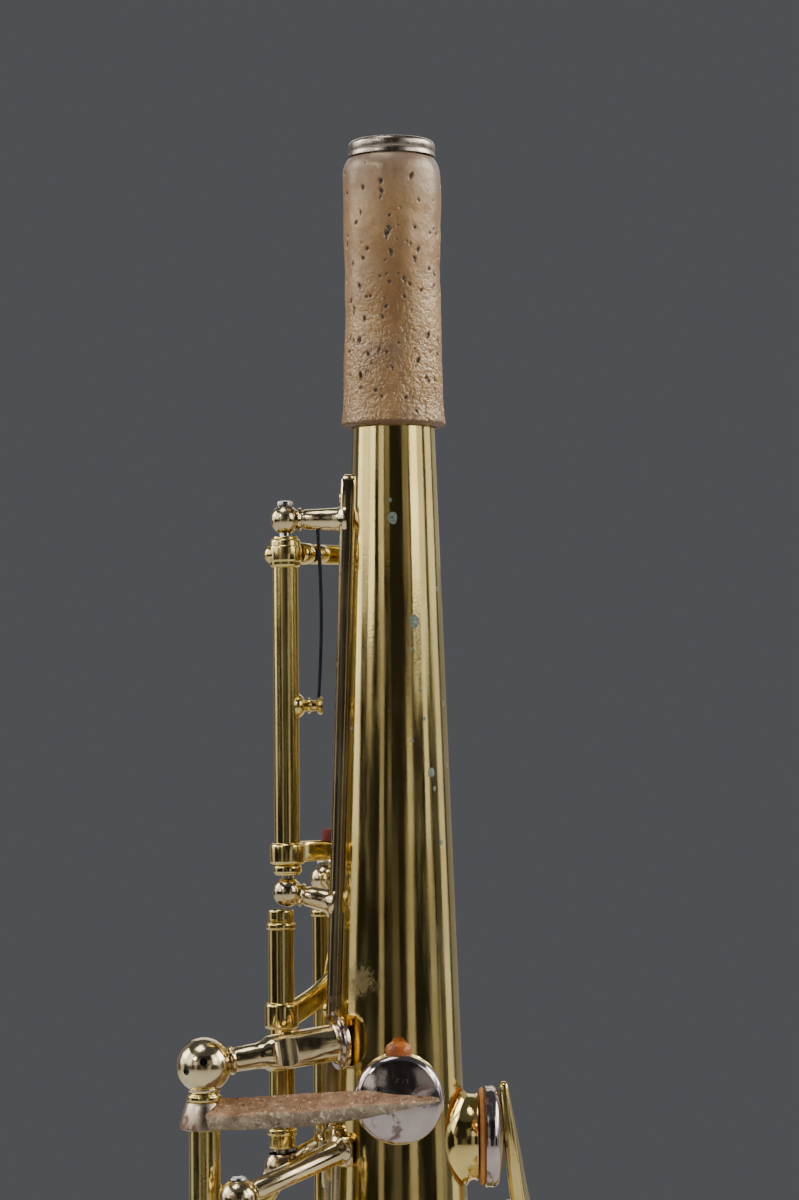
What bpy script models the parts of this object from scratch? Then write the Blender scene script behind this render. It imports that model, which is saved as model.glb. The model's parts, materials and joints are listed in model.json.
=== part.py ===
"""Straight B flat soprano saxophone, modelled piece by piece as it comes apart on a bench.

Frame: the origin is the centre of the bell rim's face and +Z runs up the tube to the neck tip.
-Y is the player's side and +X the player's right-hand side.

Sizes are in millimetres and are scaled to metres when a mesh is made. A place on the instrument
is given as (angle, radius, station). The angle goes round the tube in degrees: 0 faces the player
(-Y), 90 is +X, 180 faces the audience (+Y) and -90 is -X. The radius is the distance from the
tube's axis. The station is the distance down the tube from the neck tip.
"""
import math
from collections import namedtuple

import bmesh
import bpy
from mathutils import Matrix, Vector

MM = 0.001

# Main sizes.
HEIGHT = 650.0
CORK_END = 46.0
RADIUS_AT_CORK_END = 6.6
TAPER = 0.035
WALL = 0.9
BODY_TOP = 2.9
BODY_END = 589.0
BELL_END = 646.9
BELL_RADIUS = 46.0
RIM_RADIUS = 47.0
RIM_INNER = 44.2
RIM_HEIGHT = 2.8
CORK_RADIUS = 8.0
TIP_RADIUS = 7.0
TIP_BORE = 4.6
TIP_LENGTH = 2.6
GAP = 0.3

# Tone holes, cups and pads.
CHIMNEY = 2.0
CHIMNEY_WALL = 0.7
PIP_WALL = 1.2
SMALL_BORE = 3.0
CUP_OVERLAP = 1.9
CUP_DEPTH = 3.2
CUP_DOME = 0.7
SEAT_GAP = 0.2
PAD_DEPTH = 1.9
CUP_WALL = 0.6

# Hinges, posts and arms.
ROD_RADIUS = 1.0
TUBE_BORE = 1.35
TUBE_RADIUS = 2.1
POST_BALL = 2.4
PALM_POST_BALL = 3.9
POST_FOOT = 2.1
POST_NECK = 1.35
RIB_THICKNESS = 1.3
ARM_THICKNESS = 1.9
PEARL_RADIUS = 4.8
PEARL_HEIGHT = 2.4
PLATE = 1.8

# How far the open-standing keys stand from their tone holes, in degrees about the hinge.
UPPER_OPEN = 11.0
LOWER_OPEN = 10.0
BELL_OPEN = 11.0

Hole = namedtuple("Hole", "station bore angle")
HOLES = {
    "upper_octave_key": Hole(66.0, 1.6, 180.0),
    "palm_f_key": Hole(125.0, 9.0, 180.0),
    "lower_octave_key": Hole(146.0, 1.6, 180.0),
    "palm_eb_key": Hole(151.0, 10.2, 0.0),
    "side_e_key": Hole(159.0, 12.2, 90.0),
    "palm_d_key": Hole(179.0, 11.0, -20.0),
    "c_vent_key": Hole(197.0, 6.0, 180.0),
    "b_key": Hole(213.0, 10.0, 180.0),
    "side_c_key": Hole(222.0, 10.0, 75.0),
    "bis_key": Hole(232.5, 11.0, 180.0),
    "side_bb_key": Hole(247.0, 12.0, 75.0),
    "a_key": Hole(254.0, 12.0, 180.0),
    "g_key": Hole(280.0, 14.0, 180.0),
    "g_sharp_key": Hole(304.0, 13.0, -130.0),
    "f_sharp_key": Hole(330.0, 16.0, 180.0),
    "f_key": Hole(358.0, 17.0, 180.0),
    "e_key": Hole(388.0, 18.0, 180.0),
    "d_key": Hole(418.0, 19.0, 180.0),
    "low_eb_key": Hole(447.0, 20.0, 85.0),
    "low_c_key": Hole(476.0, 22.0, 180.0),
    "low_c_sharp_key": Hole(505.0, 21.0, -155.0),
    "low_b_key": Hole(534.0, 24.0, -140.0),
    "low_bb_key": Hole(566.0, 25.0, -125.0),
}

# Hinge lines, parallel to the tube's axis: (angle, radius).
LINES = {
    "octave": (-90.0, 17.5),
    "palm_f": (-90.0, 18.6),
    "palm_eb": (-65.0, 33.1),
    "palm_d": (-52.2, 31.0),
    "side_e": (114.0, 19.7),
    "upper_stack": (141.5, 21.7),
    "side_c": (38.5, 19.4),
    "side_bb": (25.0, 22.0),
    "thumb_lever": (-45.0, 19.8),
    "lower_octave": (-141.7, 19.4),
    "lower_stack": (142.3, 27.8),
    "g_sharp": (-96.4, 23.4),
    "low_c_sharp": (-124.0, 30.2),
    "low_b": (-108.0, 31.9),
    "low_bb": (-93.0, 33.0),
    "low_eb": (118.0, 28.3),
    "low_c": (146.0, 30.0),
}

# Ribs: strips along the tube, and the (line, station) of each post that stands on them.
Rib = namedtuple("Rib", "angle top bottom width posts")
RIBS = {
    "octave_rib": Rib(-90.0, 54.0, 166.5, 4.0, [("octave", 60.6), ("octave", 120.0), ("palm_f", 163.5)]),
    "palm_rib": Rib(-66.0, 157.0, 216.5, 3.6, [("palm_d", 165.0), ("palm_eb", 191.0), ("palm_d", 214.0)]),
    "thumb_lever_rib": Rib(-45.0, 218.5, 252.0, 3.6, [("thumb_lever", 221.0), ("thumb_lever", 249.0)]),
    "lower_octave_rib": Rib(-136.0, 116.0, 206.0, 3.6, [("lower_octave", 119.0), ("lower_octave", 203.0)]),
    "upper_stack_rib": Rib(136.0, 171.0, 305.0, 4.0, [
        ("side_e", 173.5), ("upper_stack", 189.0), ("upper_stack", 296.0), ("side_e", 302.0)]),
    "side_key_rib": Rib(24.0, 206.0, 337.0, 4.0, [
        ("side_c", 210.0), ("side_bb", 235.0), ("side_c", 329.0), ("side_bb", 333.5)]),
    "g_sharp_rib": Rib(-88.0, 290.5, 320.0, 4.0, [("g_sharp", 293.5), ("g_sharp", 317.0)]),
    "lower_stack_rib": Rib(133.0, 312.0, 497.0, 4.6, [
        ("lower_stack", 316.0), ("low_eb", 430.0), ("lower_stack", 437.0), ("low_c", 451.0),
        ("low_eb", 463.7), ("low_c", 493.0)]),
    "bell_key_rib": Rib(-82.0, 321.0, 584.9, 4.6, [
        ("low_c_sharp", 323.5), ("low_b", 337.5), ("low_bb", 351.5),
        ("low_c_sharp", 519.2), ("low_b", 551.5), ("low_bb", 582.8)]),
}

# Posts that lean: how much further down the tube the foot is than the ball.
LEANS = {("octave", 120.0): 1.6, ("palm_f", 163.5): -3.5, ("palm_d", 165.0): -5.0}

# Steel rods that run right through their posts and hinge tubes: line, top and bottom station.
RODS = {
    "octave_rod": ("octave", 57.8, 121.4),
    "palm_f_rod": ("palm_f", 123.0, 166.4),
    "palm_eb_rod": ("palm_eb", 141.0, 194.0),
    "palm_d_rod": ("palm_d", 162.0, 217.0),
    "thumb_lever_rod": ("thumb_lever", 218.0, 252.0),
    "lower_octave_rod": ("lower_octave", 116.0, 206.0),
    "upper_stack_rod": ("upper_stack", 186.0, 299.0),
    "g_sharp_rod": ("g_sharp", 290.5, 320.0),
    "lower_stack_rod": ("lower_stack", 313.0, 440.0),
    "low_eb_rod": ("low_eb", 427.0, 466.5),
    "low_c_rod": ("low_c", 448.0, 496.0),
}
BORED_LINES = {line for line, top, bottom in RODS.values()}


def outer_radius(station):
    return RADIUS_AT_CORK_END + TAPER * (station - CORK_END)


def at(angle, radius, station):
    turn = math.radians(angle)
    return Vector((radius * math.sin(turn), -radius * math.cos(turn), HEIGHT - station))


def outward(angle):
    return at(angle, 1.0, HEIGHT)


def around(angle):
    turn = math.radians(angle)
    return Vector((math.cos(turn), math.sin(turn), 0.0))


def line_point(line, station):
    angle, radius = LINES[line]
    return at(angle, radius, station)


# ---------------------------------------------------------------- materials

def metal(name, color, roughness):
    material = bpy.data.materials.new(name)
    material.use_nodes = True
    shader = material.node_tree.nodes["Principled BSDF"]
    shader.inputs["Base Color"].default_value = (*color, 1.0)
    shader.inputs["Metallic"].default_value = 1.0
    shader.inputs["Roughness"].default_value = roughness
    return material


def matte(name, color, roughness):
    material = metal(name, color, roughness)
    material.node_tree.nodes["Principled BSDF"].inputs["Metallic"].default_value = 0.0
    return material


# ---------------------------------------------------------------- shapes, in millimetres

def turn_upright(axis):
    return Vector((0.0, 0.0, 1.0)).rotation_difference(axis).to_matrix().to_4x4()


def turned(profile, sides, base, axis, ring=False):
    """Spin (radius, height) points round an axis. A ring's profile closes on itself."""
    shape = bmesh.new()
    verts = [shape.verts.new((radius, 0.0, height)) for radius, height in profile]
    pairs = list(zip(verts, verts[1:]))
    if ring:
        pairs.append((verts[-1], verts[0]))
    edges = [shape.edges.new(pair) for pair in pairs]
    bmesh.ops.spin(
        shape, geom=verts + edges, cent=(0.0, 0.0, 0.0), axis=(0.0, 0.0, 1.0),
        angle=math.tau, steps=sides, use_merge=True)
    bmesh.ops.remove_doubles(shape, verts=shape.verts[:], dist=0.0005)
    bmesh.ops.transform(shape, matrix=Matrix.Translation(base) @ turn_upright(axis), verts=shape.verts[:])
    return shape


def cone(start, end, start_radius, end_radius, sides=8):
    shape = bmesh.new()
    run = end - start
    middle = Matrix.Translation((start + end) / 2)
    bmesh.ops.create_cone(
        shape, cap_ends=True, segments=sides, radius1=start_radius, radius2=end_radius,
        depth=run.length, matrix=middle @ turn_upright(run.normalized()))
    return shape


def ball(centre, radius):
    shape = bmesh.new()
    bmesh.ops.create_uvsphere(
        shape, u_segments=8, v_segments=6, radius=radius, matrix=Matrix.Translation(centre))
    return shape


def bar(points, widths, thickness, across):
    """A flat strip swept through points. Its width lies along `across`."""
    shape = bmesh.new()
    sections = []
    last = len(points) - 1
    for index, point in enumerate(points):
        along = (points[min(index + 1, last)] - points[max(index - 1, 0)]).normalized()
        side = (across - along * across.dot(along)).normalized()
        normal = along.cross(side)
        width = widths[0] + (widths[1] - widths[0]) * index / last
        corners = [(-1, -1), (1, -1), (1, 1), (-1, 1)]
        sections.append([
            shape.verts.new(point + side * (width / 2 * u) + normal * (thickness / 2 * v))
            for u, v in corners])
    for here, there in zip(sections, sections[1:]):
        for corner in range(4):
            following = (corner + 1) % 4
            shape.faces.new((here[corner], here[following], there[following], there[corner]))
    shape.faces.new(sections[0])
    shape.faces.new(sections[-1][::-1])
    return shape


def plate(centre, facing, length, width):
    """An oval touch plate, its long way up the tube."""
    shape = bmesh.new()
    across = Vector((0.0, 0.0, 1.0)).cross(facing).normalized()
    frame = Matrix((across, facing.cross(across), facing)).transposed().to_4x4()
    size = Matrix.Diagonal((width / 2, length / 2, PLATE, 1.0))
    bmesh.ops.create_cone(
        shape, cap_ends=True, segments=12, radius1=1.0, radius2=0.86, depth=1.0,
        matrix=Matrix.Translation(centre) @ frame @ size)
    return shape


def together(shapes):
    """Several shapes that don't touch, as one mesh, for one cut or one union."""
    whole = bmesh.new()
    for shape in shapes:
        mesh = bpy.data.meshes.new("loose")
        shape.to_mesh(mesh)
        shape.free()
        whole.from_mesh(mesh)
        bpy.data.meshes.remove(mesh)
    return whole


# ---------------------------------------------------------------- objects

def new_object(name, shape):
    bmesh.ops.recalc_face_normals(shape, faces=shape.faces[:])
    bmesh.ops.scale(shape, vec=(MM, MM, MM), verts=shape.verts[:])
    mesh = bpy.data.meshes.new(name)
    shape.to_mesh(mesh)
    shape.free()
    item = bpy.data.objects.new(name, mesh)
    bpy.context.collection.objects.link(item)
    return item


def combine(item, shape, operation):
    tool = new_object("tool", shape)
    modifier = item.modifiers.new("combine", "BOOLEAN")
    modifier.operation = operation
    modifier.solver = "EXACT"
    modifier.object = tool
    graph = bpy.context.evaluated_depsgraph_get()
    result = bpy.data.meshes.new_from_object(item.evaluated_get(graph))
    item.modifiers.clear()
    item.data = result
    bpy.data.objects.remove(tool)


def make(name, shapes, material, cuts=(), pivot=None, turn=0.0):
    """Join the shapes, take the cuts away, and put the origin on the pivot."""
    item = new_object(name, shapes[0])
    for shape in shapes[1:]:
        combine(item, shape, "UNION")
    for cut in cuts:
        combine(item, cut, "DIFFERENCE")
    tidy = bmesh.new()
    tidy.from_mesh(item.data)
    bmesh.ops.remove_doubles(tidy, verts=tidy.verts[:], dist=0.000002)
    bmesh.ops.dissolve_degenerate(tidy, dist=0.000002, edges=tidy.edges[:])
    bmesh.ops.holes_fill(tidy, edges=tidy.edges[:], sides=4)
    tidy.to_mesh(item.data)
    tidy.free()
    item.data.name = name
    item.data.shade_smooth()
    item.data.set_sharp_from_angle(angle=math.radians(35))
    item.data.materials.clear()
    item.data.materials.append(material)
    if pivot is not None:
        origin = pivot * MM
        item.data.transform(Matrix.Translation(-origin))
        item.location = origin
        item.rotation_euler.z = math.radians(turn)
    return item


# ---------------------------------------------------------------- tube, bell and neck

def rim_radius(hole):
    """Distance from the axis to the flat top of a tone hole's chimney."""
    return outer_radius(hole.station) + CHIMNEY


def chimney_radius(hole):
    wall = PIP_WALL if hole.bore < SMALL_BORE else CHIMNEY_WALL
    return hole.bore / 2 + wall


def body_tube(material):
    top = outer_radius(BODY_TOP)
    end = outer_radius(BODY_END)
    outside = cone(at(0, 0, BODY_TOP), at(0, 0, BODY_END), top, end, 24)
    chimneys = []
    bores = []
    for hole in HOLES.values():
        reach = chimney_radius(hole) + 0.4
        root = math.sqrt(max(outer_radius(hole.station) ** 2 - reach ** 2, 1.0)) - 1.2
        sides = 12 if hole.bore > SMALL_BORE else 8
        foot = at(hole.angle, root, hole.station)
        rim = at(hole.angle, rim_radius(hole), hole.station)
        beyond = at(hole.angle, rim_radius(hole) + 4.0, hole.station)
        chimneys.append(cone(foot, rim, chimney_radius(hole), chimney_radius(hole), sides))
        bores.append(cone(at(0, 0, hole.station), beyond, hole.bore / 2, hole.bore / 2, sides))
    inside = cone(
        at(0, 0, BODY_TOP - 5), at(0, 0, BODY_END + 5),
        outer_radius(BODY_TOP - 5) - WALL, outer_radius(BODY_END + 5) - WALL, 24)
    make("body_tube", [outside, together(chimneys)], material, [inside, together(bores)])


def bell_outline(station):
    share = (station - BODY_END) / (BELL_END - BODY_END)
    start = outer_radius(BODY_END)
    straight = TAPER * (station - BODY_END)
    return start + straight + (BELL_RADIUS - start - TAPER * (BELL_END - BODY_END)) * share ** 2.4


def bell(material):
    start = BODY_END + GAP
    stations = [start + (BELL_END - start) * math.sin(math.pi / 2 * step / 6) for step in range(7)]
    outside = [(bell_outline(station), HEIGHT - station) for station in stations]
    inside = [(radius - WALL, height) for radius, height in reversed(outside)]
    make("bell", [turned(outside + inside, 32, Vector(), Vector((0, 0, 1)), ring=True)], material)


def bell_rim_ring(material):
    profile = [
        (RIM_INNER, 0.5), (RIM_INNER + 0.4, 0.0), (RIM_RADIUS - 0.7, 0.0), (RIM_RADIUS, 0.9),
        (RIM_RADIUS - 0.4, RIM_HEIGHT), (RIM_INNER + 0.3, RIM_HEIGHT)]
    make("bell_rim_ring", [turned(profile, 32, Vector(), Vector((0, 0, 1)), ring=True)], material)


def sleeve(name, material, outline, sides):
    """A ring round the tube: its outline is (radius, station) points, outer side then inner side."""
    profile = [(radius, HEIGHT - station) for radius, station in outline]
    make(name, [turned(profile, sides, Vector(), Vector((0, 0, 1)), ring=True)], material)


def body_bell_ring(material):
    top = BODY_END - 3.4
    bottom = BODY_END + 3.2
    outline = [
        (outer_radius(top) + 1.4, top), (outer_radius(top) + 2.3, top + 1.2),
        (outer_radius(top) + 2.5, bottom - 1.2), (outer_radius(bottom) + 1.5, bottom),
        (outer_radius(bottom) + 2 * GAP, bottom), (outer_radius(top) + 1.5 * GAP, top)]
    sleeve("body_bell_ring", material, outline, 32)


def neck_tip_ring(material):
    outline = [
        (TIP_RADIUS - 0.5, 0.0), (TIP_RADIUS, 0.6), (TIP_RADIUS, TIP_LENGTH),
        (TIP_BORE, TIP_LENGTH), (TIP_BORE, 0.4), (TIP_BORE + 0.4, 0.0)]
    sleeve("neck_tip_ring", material, outline, 24)


def neck_cork(material):
    top = TIP_LENGTH + GAP
    outline = [
        (CORK_RADIUS - 0.5, top), (CORK_RADIUS, top + 0.8), (CORK_RADIUS, CORK_END - 3.0),
        (CORK_RADIUS + 0.2, CORK_END - 0.8), (CORK_RADIUS - 0.3, CORK_END),
        (outer_radius(CORK_END) + GAP, CORK_END), (outer_radius(top) + GAP, top)]
    sleeve("neck_cork", material, outline, 24)


# ---------------------------------------------------------------- ribs, posts and rods

def rib_strip(rib):
    lift = GAP + RIB_THICKNESS / 2
    ends = [at(rib.angle, outer_radius(s) + lift, s) for s in (rib.top, rib.bottom)]
    return bar(ends, (rib.width, rib.width), RIB_THICKNESS, around(rib.angle))


def post_shapes(foot, head):
    """A turned pedestal standing straight out from the tube, with its ball head."""
    run = head - foot
    profile = [
        (0.0, 0.0), (POST_FOOT, 0.0), (POST_NECK, run.length * 0.45), (POST_NECK, run.length - 0.4),
        (0.0, run.length - 0.4)]
    return [turned(profile, 6, foot, run.normalized()), ball(head, POST_BALL)]


def cross_strip(start_angle, end_angle, station):
    """The arm of a rib that reaches round the tube to a post's foot."""
    steps = max(1, round(abs(end_angle - start_angle) / 12))
    radius = outer_radius(station) + GAP + RIB_THICKNESS / 2 + 0.1
    points = [
        at(start_angle + (end_angle - start_angle) * step / steps, radius, station)
        for step in range(steps + 1)]
    return bar(points, (4.0, 4.0), RIB_THICKNESS - 0.1, Vector((0, 0, 1)))


def post_bore(head):
    reach = Vector((0.0, 0.0, 2 * PALM_POST_BALL))
    return cone(head - reach, head + reach, TUBE_BORE, TUBE_BORE)


def rib_with_posts(name, material):
    rib = RIBS[name]
    shapes = [rib_strip(rib)]
    cuts = []
    for line, station in rib.posts:
        angle = LINES[line][0]
        head = line_point(line, station)
        lean = LEANS.get((line, station), 0.0)
        foot_station = station + lean
        foot_level = outer_radius(foot_station) + GAP + RIB_THICKNESS * 0.5 + 0.1 * abs(lean)
        foot = at(angle, foot_level, foot_station)
        if angle != rib.angle:
            overshoot = math.copysign(math.degrees(POST_FOOT / foot.xy.length), angle - rib.angle)
            shapes.append(cross_strip(rib.angle, angle + overshoot, foot_station))
        shapes.extend(post_shapes(foot, head))
        if line in BORED_LINES:
            cuts.append(post_bore(head))
    make(name, shapes, material, cuts)


def palm_eb_post(material):
    """The long upper post of the palm E flat key, on its own round flange."""
    station = 143.0
    head = line_point("palm_eb", 145.5)
    foot = at(-55.0, outer_radius(station) + GAP + 0.9, station)
    run = (head - foot).normalized()
    reach = (head - foot).length
    profile = [
        (0.0, 0.0), (4.0, 0.0), (3.7, 1.3), (2.6, 1.5), (2.6, reach * 0.42), (1.7, reach * 0.45),
        (1.7, reach * 0.62), (2.0, reach * 0.65), (1.7, reach - 0.5), (0.0, reach - 0.5)]
    shapes = [turned(profile, 10, foot, run), ball(head, PALM_POST_BALL)]
    make("palm_eb_post", shapes, material, [post_bore(head)])


def hinge_rod(name, material):
    line, top, bottom = RODS[name]
    make(name, [cone(line_point(line, bottom), line_point(line, top), ROD_RADIUS, ROD_RADIUS)], material)


# ---------------------------------------------------------------- keys

def cup_radius(hole):
    return hole.bore / 2 + CUP_OVERLAP


def cup_shape(hole):
    radius = cup_radius(hole)
    profile = [
        (0.0, 0.0), (radius, 0.0), (radius, CUP_DEPTH - 0.9), (radius * 0.8, CUP_DEPTH - 0.1),
        (0.0, CUP_DEPTH + CUP_DOME)]
    base = at(hole.angle, rim_radius(hole) + SEAT_GAP, hole.station)
    return turned(profile, 12, base, outward(hole.angle))


def pad_recess(hole):
    start = at(hole.angle, rim_radius(hole) - 1.0, hole.station)
    end = at(hole.angle, rim_radius(hole) + SEAT_GAP + PAD_DEPTH + GAP, hole.station)
    radius = cup_radius(hole) - CUP_WALL
    return cone(start, end, radius, radius, 12)


def pad(name, hole, pivot, turn, material):
    start = at(hole.angle, rim_radius(hole) + SEAT_GAP, hole.station)
    end = at(hole.angle, rim_radius(hole) + SEAT_GAP + PAD_DEPTH, hole.station)
    radius = cup_radius(hole) - CUP_WALL - GAP
    make(name, [cone(start, end, radius, radius, 12)], material, pivot=pivot, turn=turn)


def cup_arm(hole, line, widths):
    """From the hinge tube up over the edge of the cup and across most of it."""
    hinge = line_point(line, hole.station)
    normal = outward(hole.angle)
    side = around(hole.angle)
    offset = hinge.dot(side)
    level = rim_radius(hole) + SEAT_GAP + CUP_DEPTH + 0.4
    centre = at(hole.angle, level, hole.station)
    shoulder = centre + side * (offset * 0.8)
    shoulder -= normal * max(0.0, level - hinge.dot(normal) - 4.0)
    end = centre - side * math.copysign(cup_radius(hole) * 0.5, offset)
    return bar([hinge, shoulder, centre, end], widths, ARM_THICKNESS, Vector((0, 0, 1)))


def pearl(hole, radius):
    start = at(hole.angle, rim_radius(hole) + CUP_DEPTH + 0.5, hole.station)
    end = start + outward(hole.angle) * (PEARL_HEIGHT + 0.6)
    return cone(start, end, radius * 0.8, radius, 10)


def touch(path, length, width, facing):
    """An arm from the hinge tube through (angle, radius, station) points to an oval plate."""
    points = [at(*place) for place in path]
    across = Vector((0.0, 0.0, 1.0))
    arm = bar(points, (3.6, 3.0), ARM_THICKNESS, across)
    return [arm, plate(points[-1], facing, length, width)]


def key(name, line, top, bottom, material, extras=(), pearl_radius=0.0, turn=0.0,
        arm_widths=None, own_arm=False, leather=None):
    """One soldered key: hinge tube, cup arm and cup, with its touch or other arms as extras."""
    hole = HOLES.get(name)
    shapes = [cone(line_point(line, bottom), line_point(line, top), TUBE_RADIUS, TUBE_RADIUS, 8)]
    shapes.extend(extras)
    cuts = []
    pivot = line_point(line, bottom)
    if hole:
        shapes.append(cup_shape(hole))
        if not own_arm:
            shapes.append(cup_arm(hole, line, arm_widths or (3.4 + hole.bore * 0.06, 3.0)))
        if pearl_radius:
            shapes.append(pearl(hole, pearl_radius))
        if leather:
            cuts.append(pad_recess(hole))
            pad(name.replace("_key", "_pad"), hole, pivot, turn, leather)
    if line in BORED_LINES:
        reach = Vector((0.0, 0.0, 2.0))
        cuts.append(cone(pivot - reach, line_point(line, top) + reach, TUBE_BORE, TUBE_BORE))
    return make(name, shapes, material, cuts, pivot, turn)


def octave_keys(brass):
    finger = bar(
        [at(-90, 17.5, 114.0), at(-112, 16.5, 114.0), at(-134, 14.6, 114.0)],
        (3.8, 3.2), ARM_THICKNESS, Vector((0, 0, 1)))
    collars = [
        cone(line_point("octave", station + 1.6), line_point("octave", station - 1.6), 2.7, 2.7)
        for station in (66.0, 114.2)]
    key("upper_octave_key", "octave", 63.3, 117.3, brass, [finger] + collars)
    key("lower_octave_key", "lower_octave", 122.0, 200.0, brass)
    lever = touch(
        [(-45, 19.8, 229), (-28, 22.6, 226), (-8, 22.0, 221), (0, 21.4, 219)], 12.0, 15.0, outward(0))
    key("octave_thumb_lever", "thumb_lever", 224.0, 246.0, brass, lever)


def palm_keys(brass, leather):
    arm = bar(
        [at(-90, 18.6, 140.5), at(-118, 14.3, 137), at(-141, 13.2, 132.5), at(-162, 15.0, 127),
         at(-180, 15.8, 125), at(-191, 16.0, 125)],
        (4.0, 3.2), ARM_THICKNESS, Vector((0, 0, 1)))
    lever = touch(
        [(-90, 18.6, 157), (-118, 22, 161), (-122, 25, 169), (-114, 30.5, 177), (-108, 33.5, 188)],
        18.0, 9.0, outward(-108))
    key("palm_f_key", "palm_f", 122.8, 160.6, brass, lever + [arm], own_arm=True)
    knuckle = cone(line_point("palm_eb", 155.6), line_point("palm_eb", 150.0), 3.0, 3.0, 10)
    arm = bar(
        [at(-65, 33.1, 152.6), at(-55, 31.5, 152.3), at(-35, 20.4, 151.7), at(0, 16.6, 151.1),
         at(21, 17.4, 150.9)],
        (4.6, 1.4), ARM_THICKNESS, Vector((0, 0, 1)))
    lever = touch([(-65, 33.1, 180), (-71, 38.0, 184), (-76, 40.5, 196)], 19.0, 9.5, outward(-90))
    key("palm_eb_key", "palm_eb", 149.8, 187.8, brass, lever + [knuckle, arm], own_arm=True,
        leather=leather)
    lever = touch([(-52.2, 31.0, 205), (-55, 36.0, 210), (-57, 38.5, 221)], 18.0, 9.0, outward(-70))
    key("palm_d_key", "palm_d", 168.0, 211.0, brass, lever, leather=leather)


def side_keys(brass, leather):
    arm = bar(
        [at(114, 19.7, 180), at(105, 23.4, 176), at(98, 21.6, 169), at(92, 19.4, 162), at(90, 17.2, 156),
         at(90, 16.2, 151.5)],
        (4.6, 3.6), ARM_THICKNESS, around(95))
    lever = touch([(114, 19.7, 288), (112, 25.5, 289), (110, 29.0, 292)], 16.0, 8.0, -around(112))
    key("side_e_key", "side_e", 176.6, 299.0, brass, lever + [arm], own_arm=True, leather=leather)
    lever = touch([(38.5, 19.4, 304), (46, 25.0, 305), (50, 28.5, 307)], 15.0, 8.0, around(48))
    key("side_c_key", "side_c", 213.0, 326.0, brass, lever)
    lever = touch([(25, 22.0, 324), (30, 28.0, 325), (34, 31.5, 326)], 13.0, 8.0, around(32))
    over = bar(
        [at(25, 22.0, 247), at(33, 25.4, 247), at(50, 24.4, 247), at(66, 21.0, 247), at(83, 20.0, 247)],
        (4.2, 3.2), ARM_THICKNESS, Vector((0, 0, 1)))
    key("side_bb_key", "side_bb", 238.0, 330.5, brass, lever + [over], own_arm=True)


def upper_stack(brass, open_turn):
    key("c_vent_key", "upper_stack", 192.0, 203.0, brass, turn=open_turn)
    key("b_key", "upper_stack", 203.6, 223.0, brass, pearl_radius=PEARL_RADIUS, turn=open_turn)
    key("bis_key", "upper_stack", 223.6, 243.0, brass, pearl_radius=3.4, turn=open_turn)
    key("a_key", "upper_stack", 243.6, 267.0, brass, pearl_radius=PEARL_RADIUS, turn=open_turn)
    key("g_key", "upper_stack", 267.6, 293.0, brass, pearl_radius=PEARL_RADIUS, turn=open_turn)
    lever = touch([(-96.4, 23.4, 312), (-99, 29.5, 312), (-104, 32.5, 313)], 11.0, 12.0, outward(-130))
    key("g_sharp_key", "g_sharp", 296.5, 314.0, brass, lever)


def lower_stack(brass, leather, open_turn):
    key("f_sharp_key", "lower_stack", 319.0, 344.0, brass, turn=open_turn)
    key("f_key", "lower_stack", 344.6, 373.0, brass, pearl_radius=PEARL_RADIUS, turn=open_turn)
    key("e_key", "lower_stack", 373.6, 403.0, brass, pearl_radius=PEARL_RADIUS, turn=open_turn)
    key("d_key", "lower_stack", 403.6, 434.0, brass, pearl_radius=PEARL_RADIUS, turn=open_turn,
        leather=leather)


def bell_keys(brass, leather, open_turn):
    lever = touch([(118, 28.3, 437), (124, 34.0, 437), (131, 36.0, 437)], 13.0, 13.0, outward(140))
    key("low_eb_key", "low_eb", 433.0, 460.5, brass, lever)
    lever = touch([(146, 30.0, 457), (152, 35.5, 456), (158, 36.0, 455)], 13.0, 13.0, outward(165))
    key("low_c_key", "low_c", 454.0, 490.0, brass, lever, turn=-open_turn, leather=leather)
    lever = touch([(-124, 30.2, 330), (-128, 35.0, 331), (-134, 36.5, 332)], 12.0, 12.0, outward(-140))
    key("low_c_sharp_key", "low_c_sharp", 326.5, 516.4, brass, lever)
    lever = touch([(-108, 31.9, 344), (-112, 36.5, 345), (-118, 38.0, 346)], 12.0, 12.0, outward(-125))
    key("low_b_key", "low_b", 340.5, 548.5, brass, lever, turn=open_turn)
    lever = touch([(-93, 33.0, 358), (-97, 38.0, 359), (-103, 39.5, 360)], 12.0, 12.0, outward(-110))
    key("low_bb_key", "low_bb", 354.5, 580.0, brass, lever, turn=open_turn, leather=leather)


# ---------------------------------------------------------------- thumb and strap fittings

def thumb_rest(material):
    station = 240.0
    base = at(0, outer_radius(station) + GAP, station)
    profile = [(0.0, 0.0), (3.2, 0.0), (2.2, 1.2), (2.2, 3.2), (6.2, 4.2), (6.2, 5.6), (4.0, 6.4), (0.0, 6.7)]
    make("thumb_rest", [turned(profile, 14, base, outward(0))], material)


def strap_ring(material):
    station = 272.0
    base = at(0, outer_radius(station) + GAP, station)
    stem = cone(base, base + outward(0) * 3.6, 3.2, 1.6, 10)
    centre = base + outward(0) * 8.4
    section = [(5.3 + 1.1 * math.cos(math.tau * step / 6), 1.1 * math.sin(math.tau * step / 6)) for step in range(6)]
    eye = turned(section, 18, centre, Vector((1, 0, 0)), ring=True)
    make("strap_ring", [eye, stem], material)


def thumb_hook(material):
    station = 350.0
    radius = outer_radius(station) + GAP
    foot = bar(
        [at(0, radius + 0.8, station - 14), at(0, radius + 1.3, station + 10)], (9.0, 9.0), 1.6, around(0))
    points = [
        at(0, radius + 0.9, station - 9), at(0, radius + 6.0, station - 10), at(0, radius + 12.0, station - 8),
        at(0, radius + 17.5, station - 3), at(0, radius + 19.5, station + 4)]
    hook = bar(points, (8.0, 10.5), 2.4, around(0))
    make("thumb_hook", [foot, hook], material)


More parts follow.
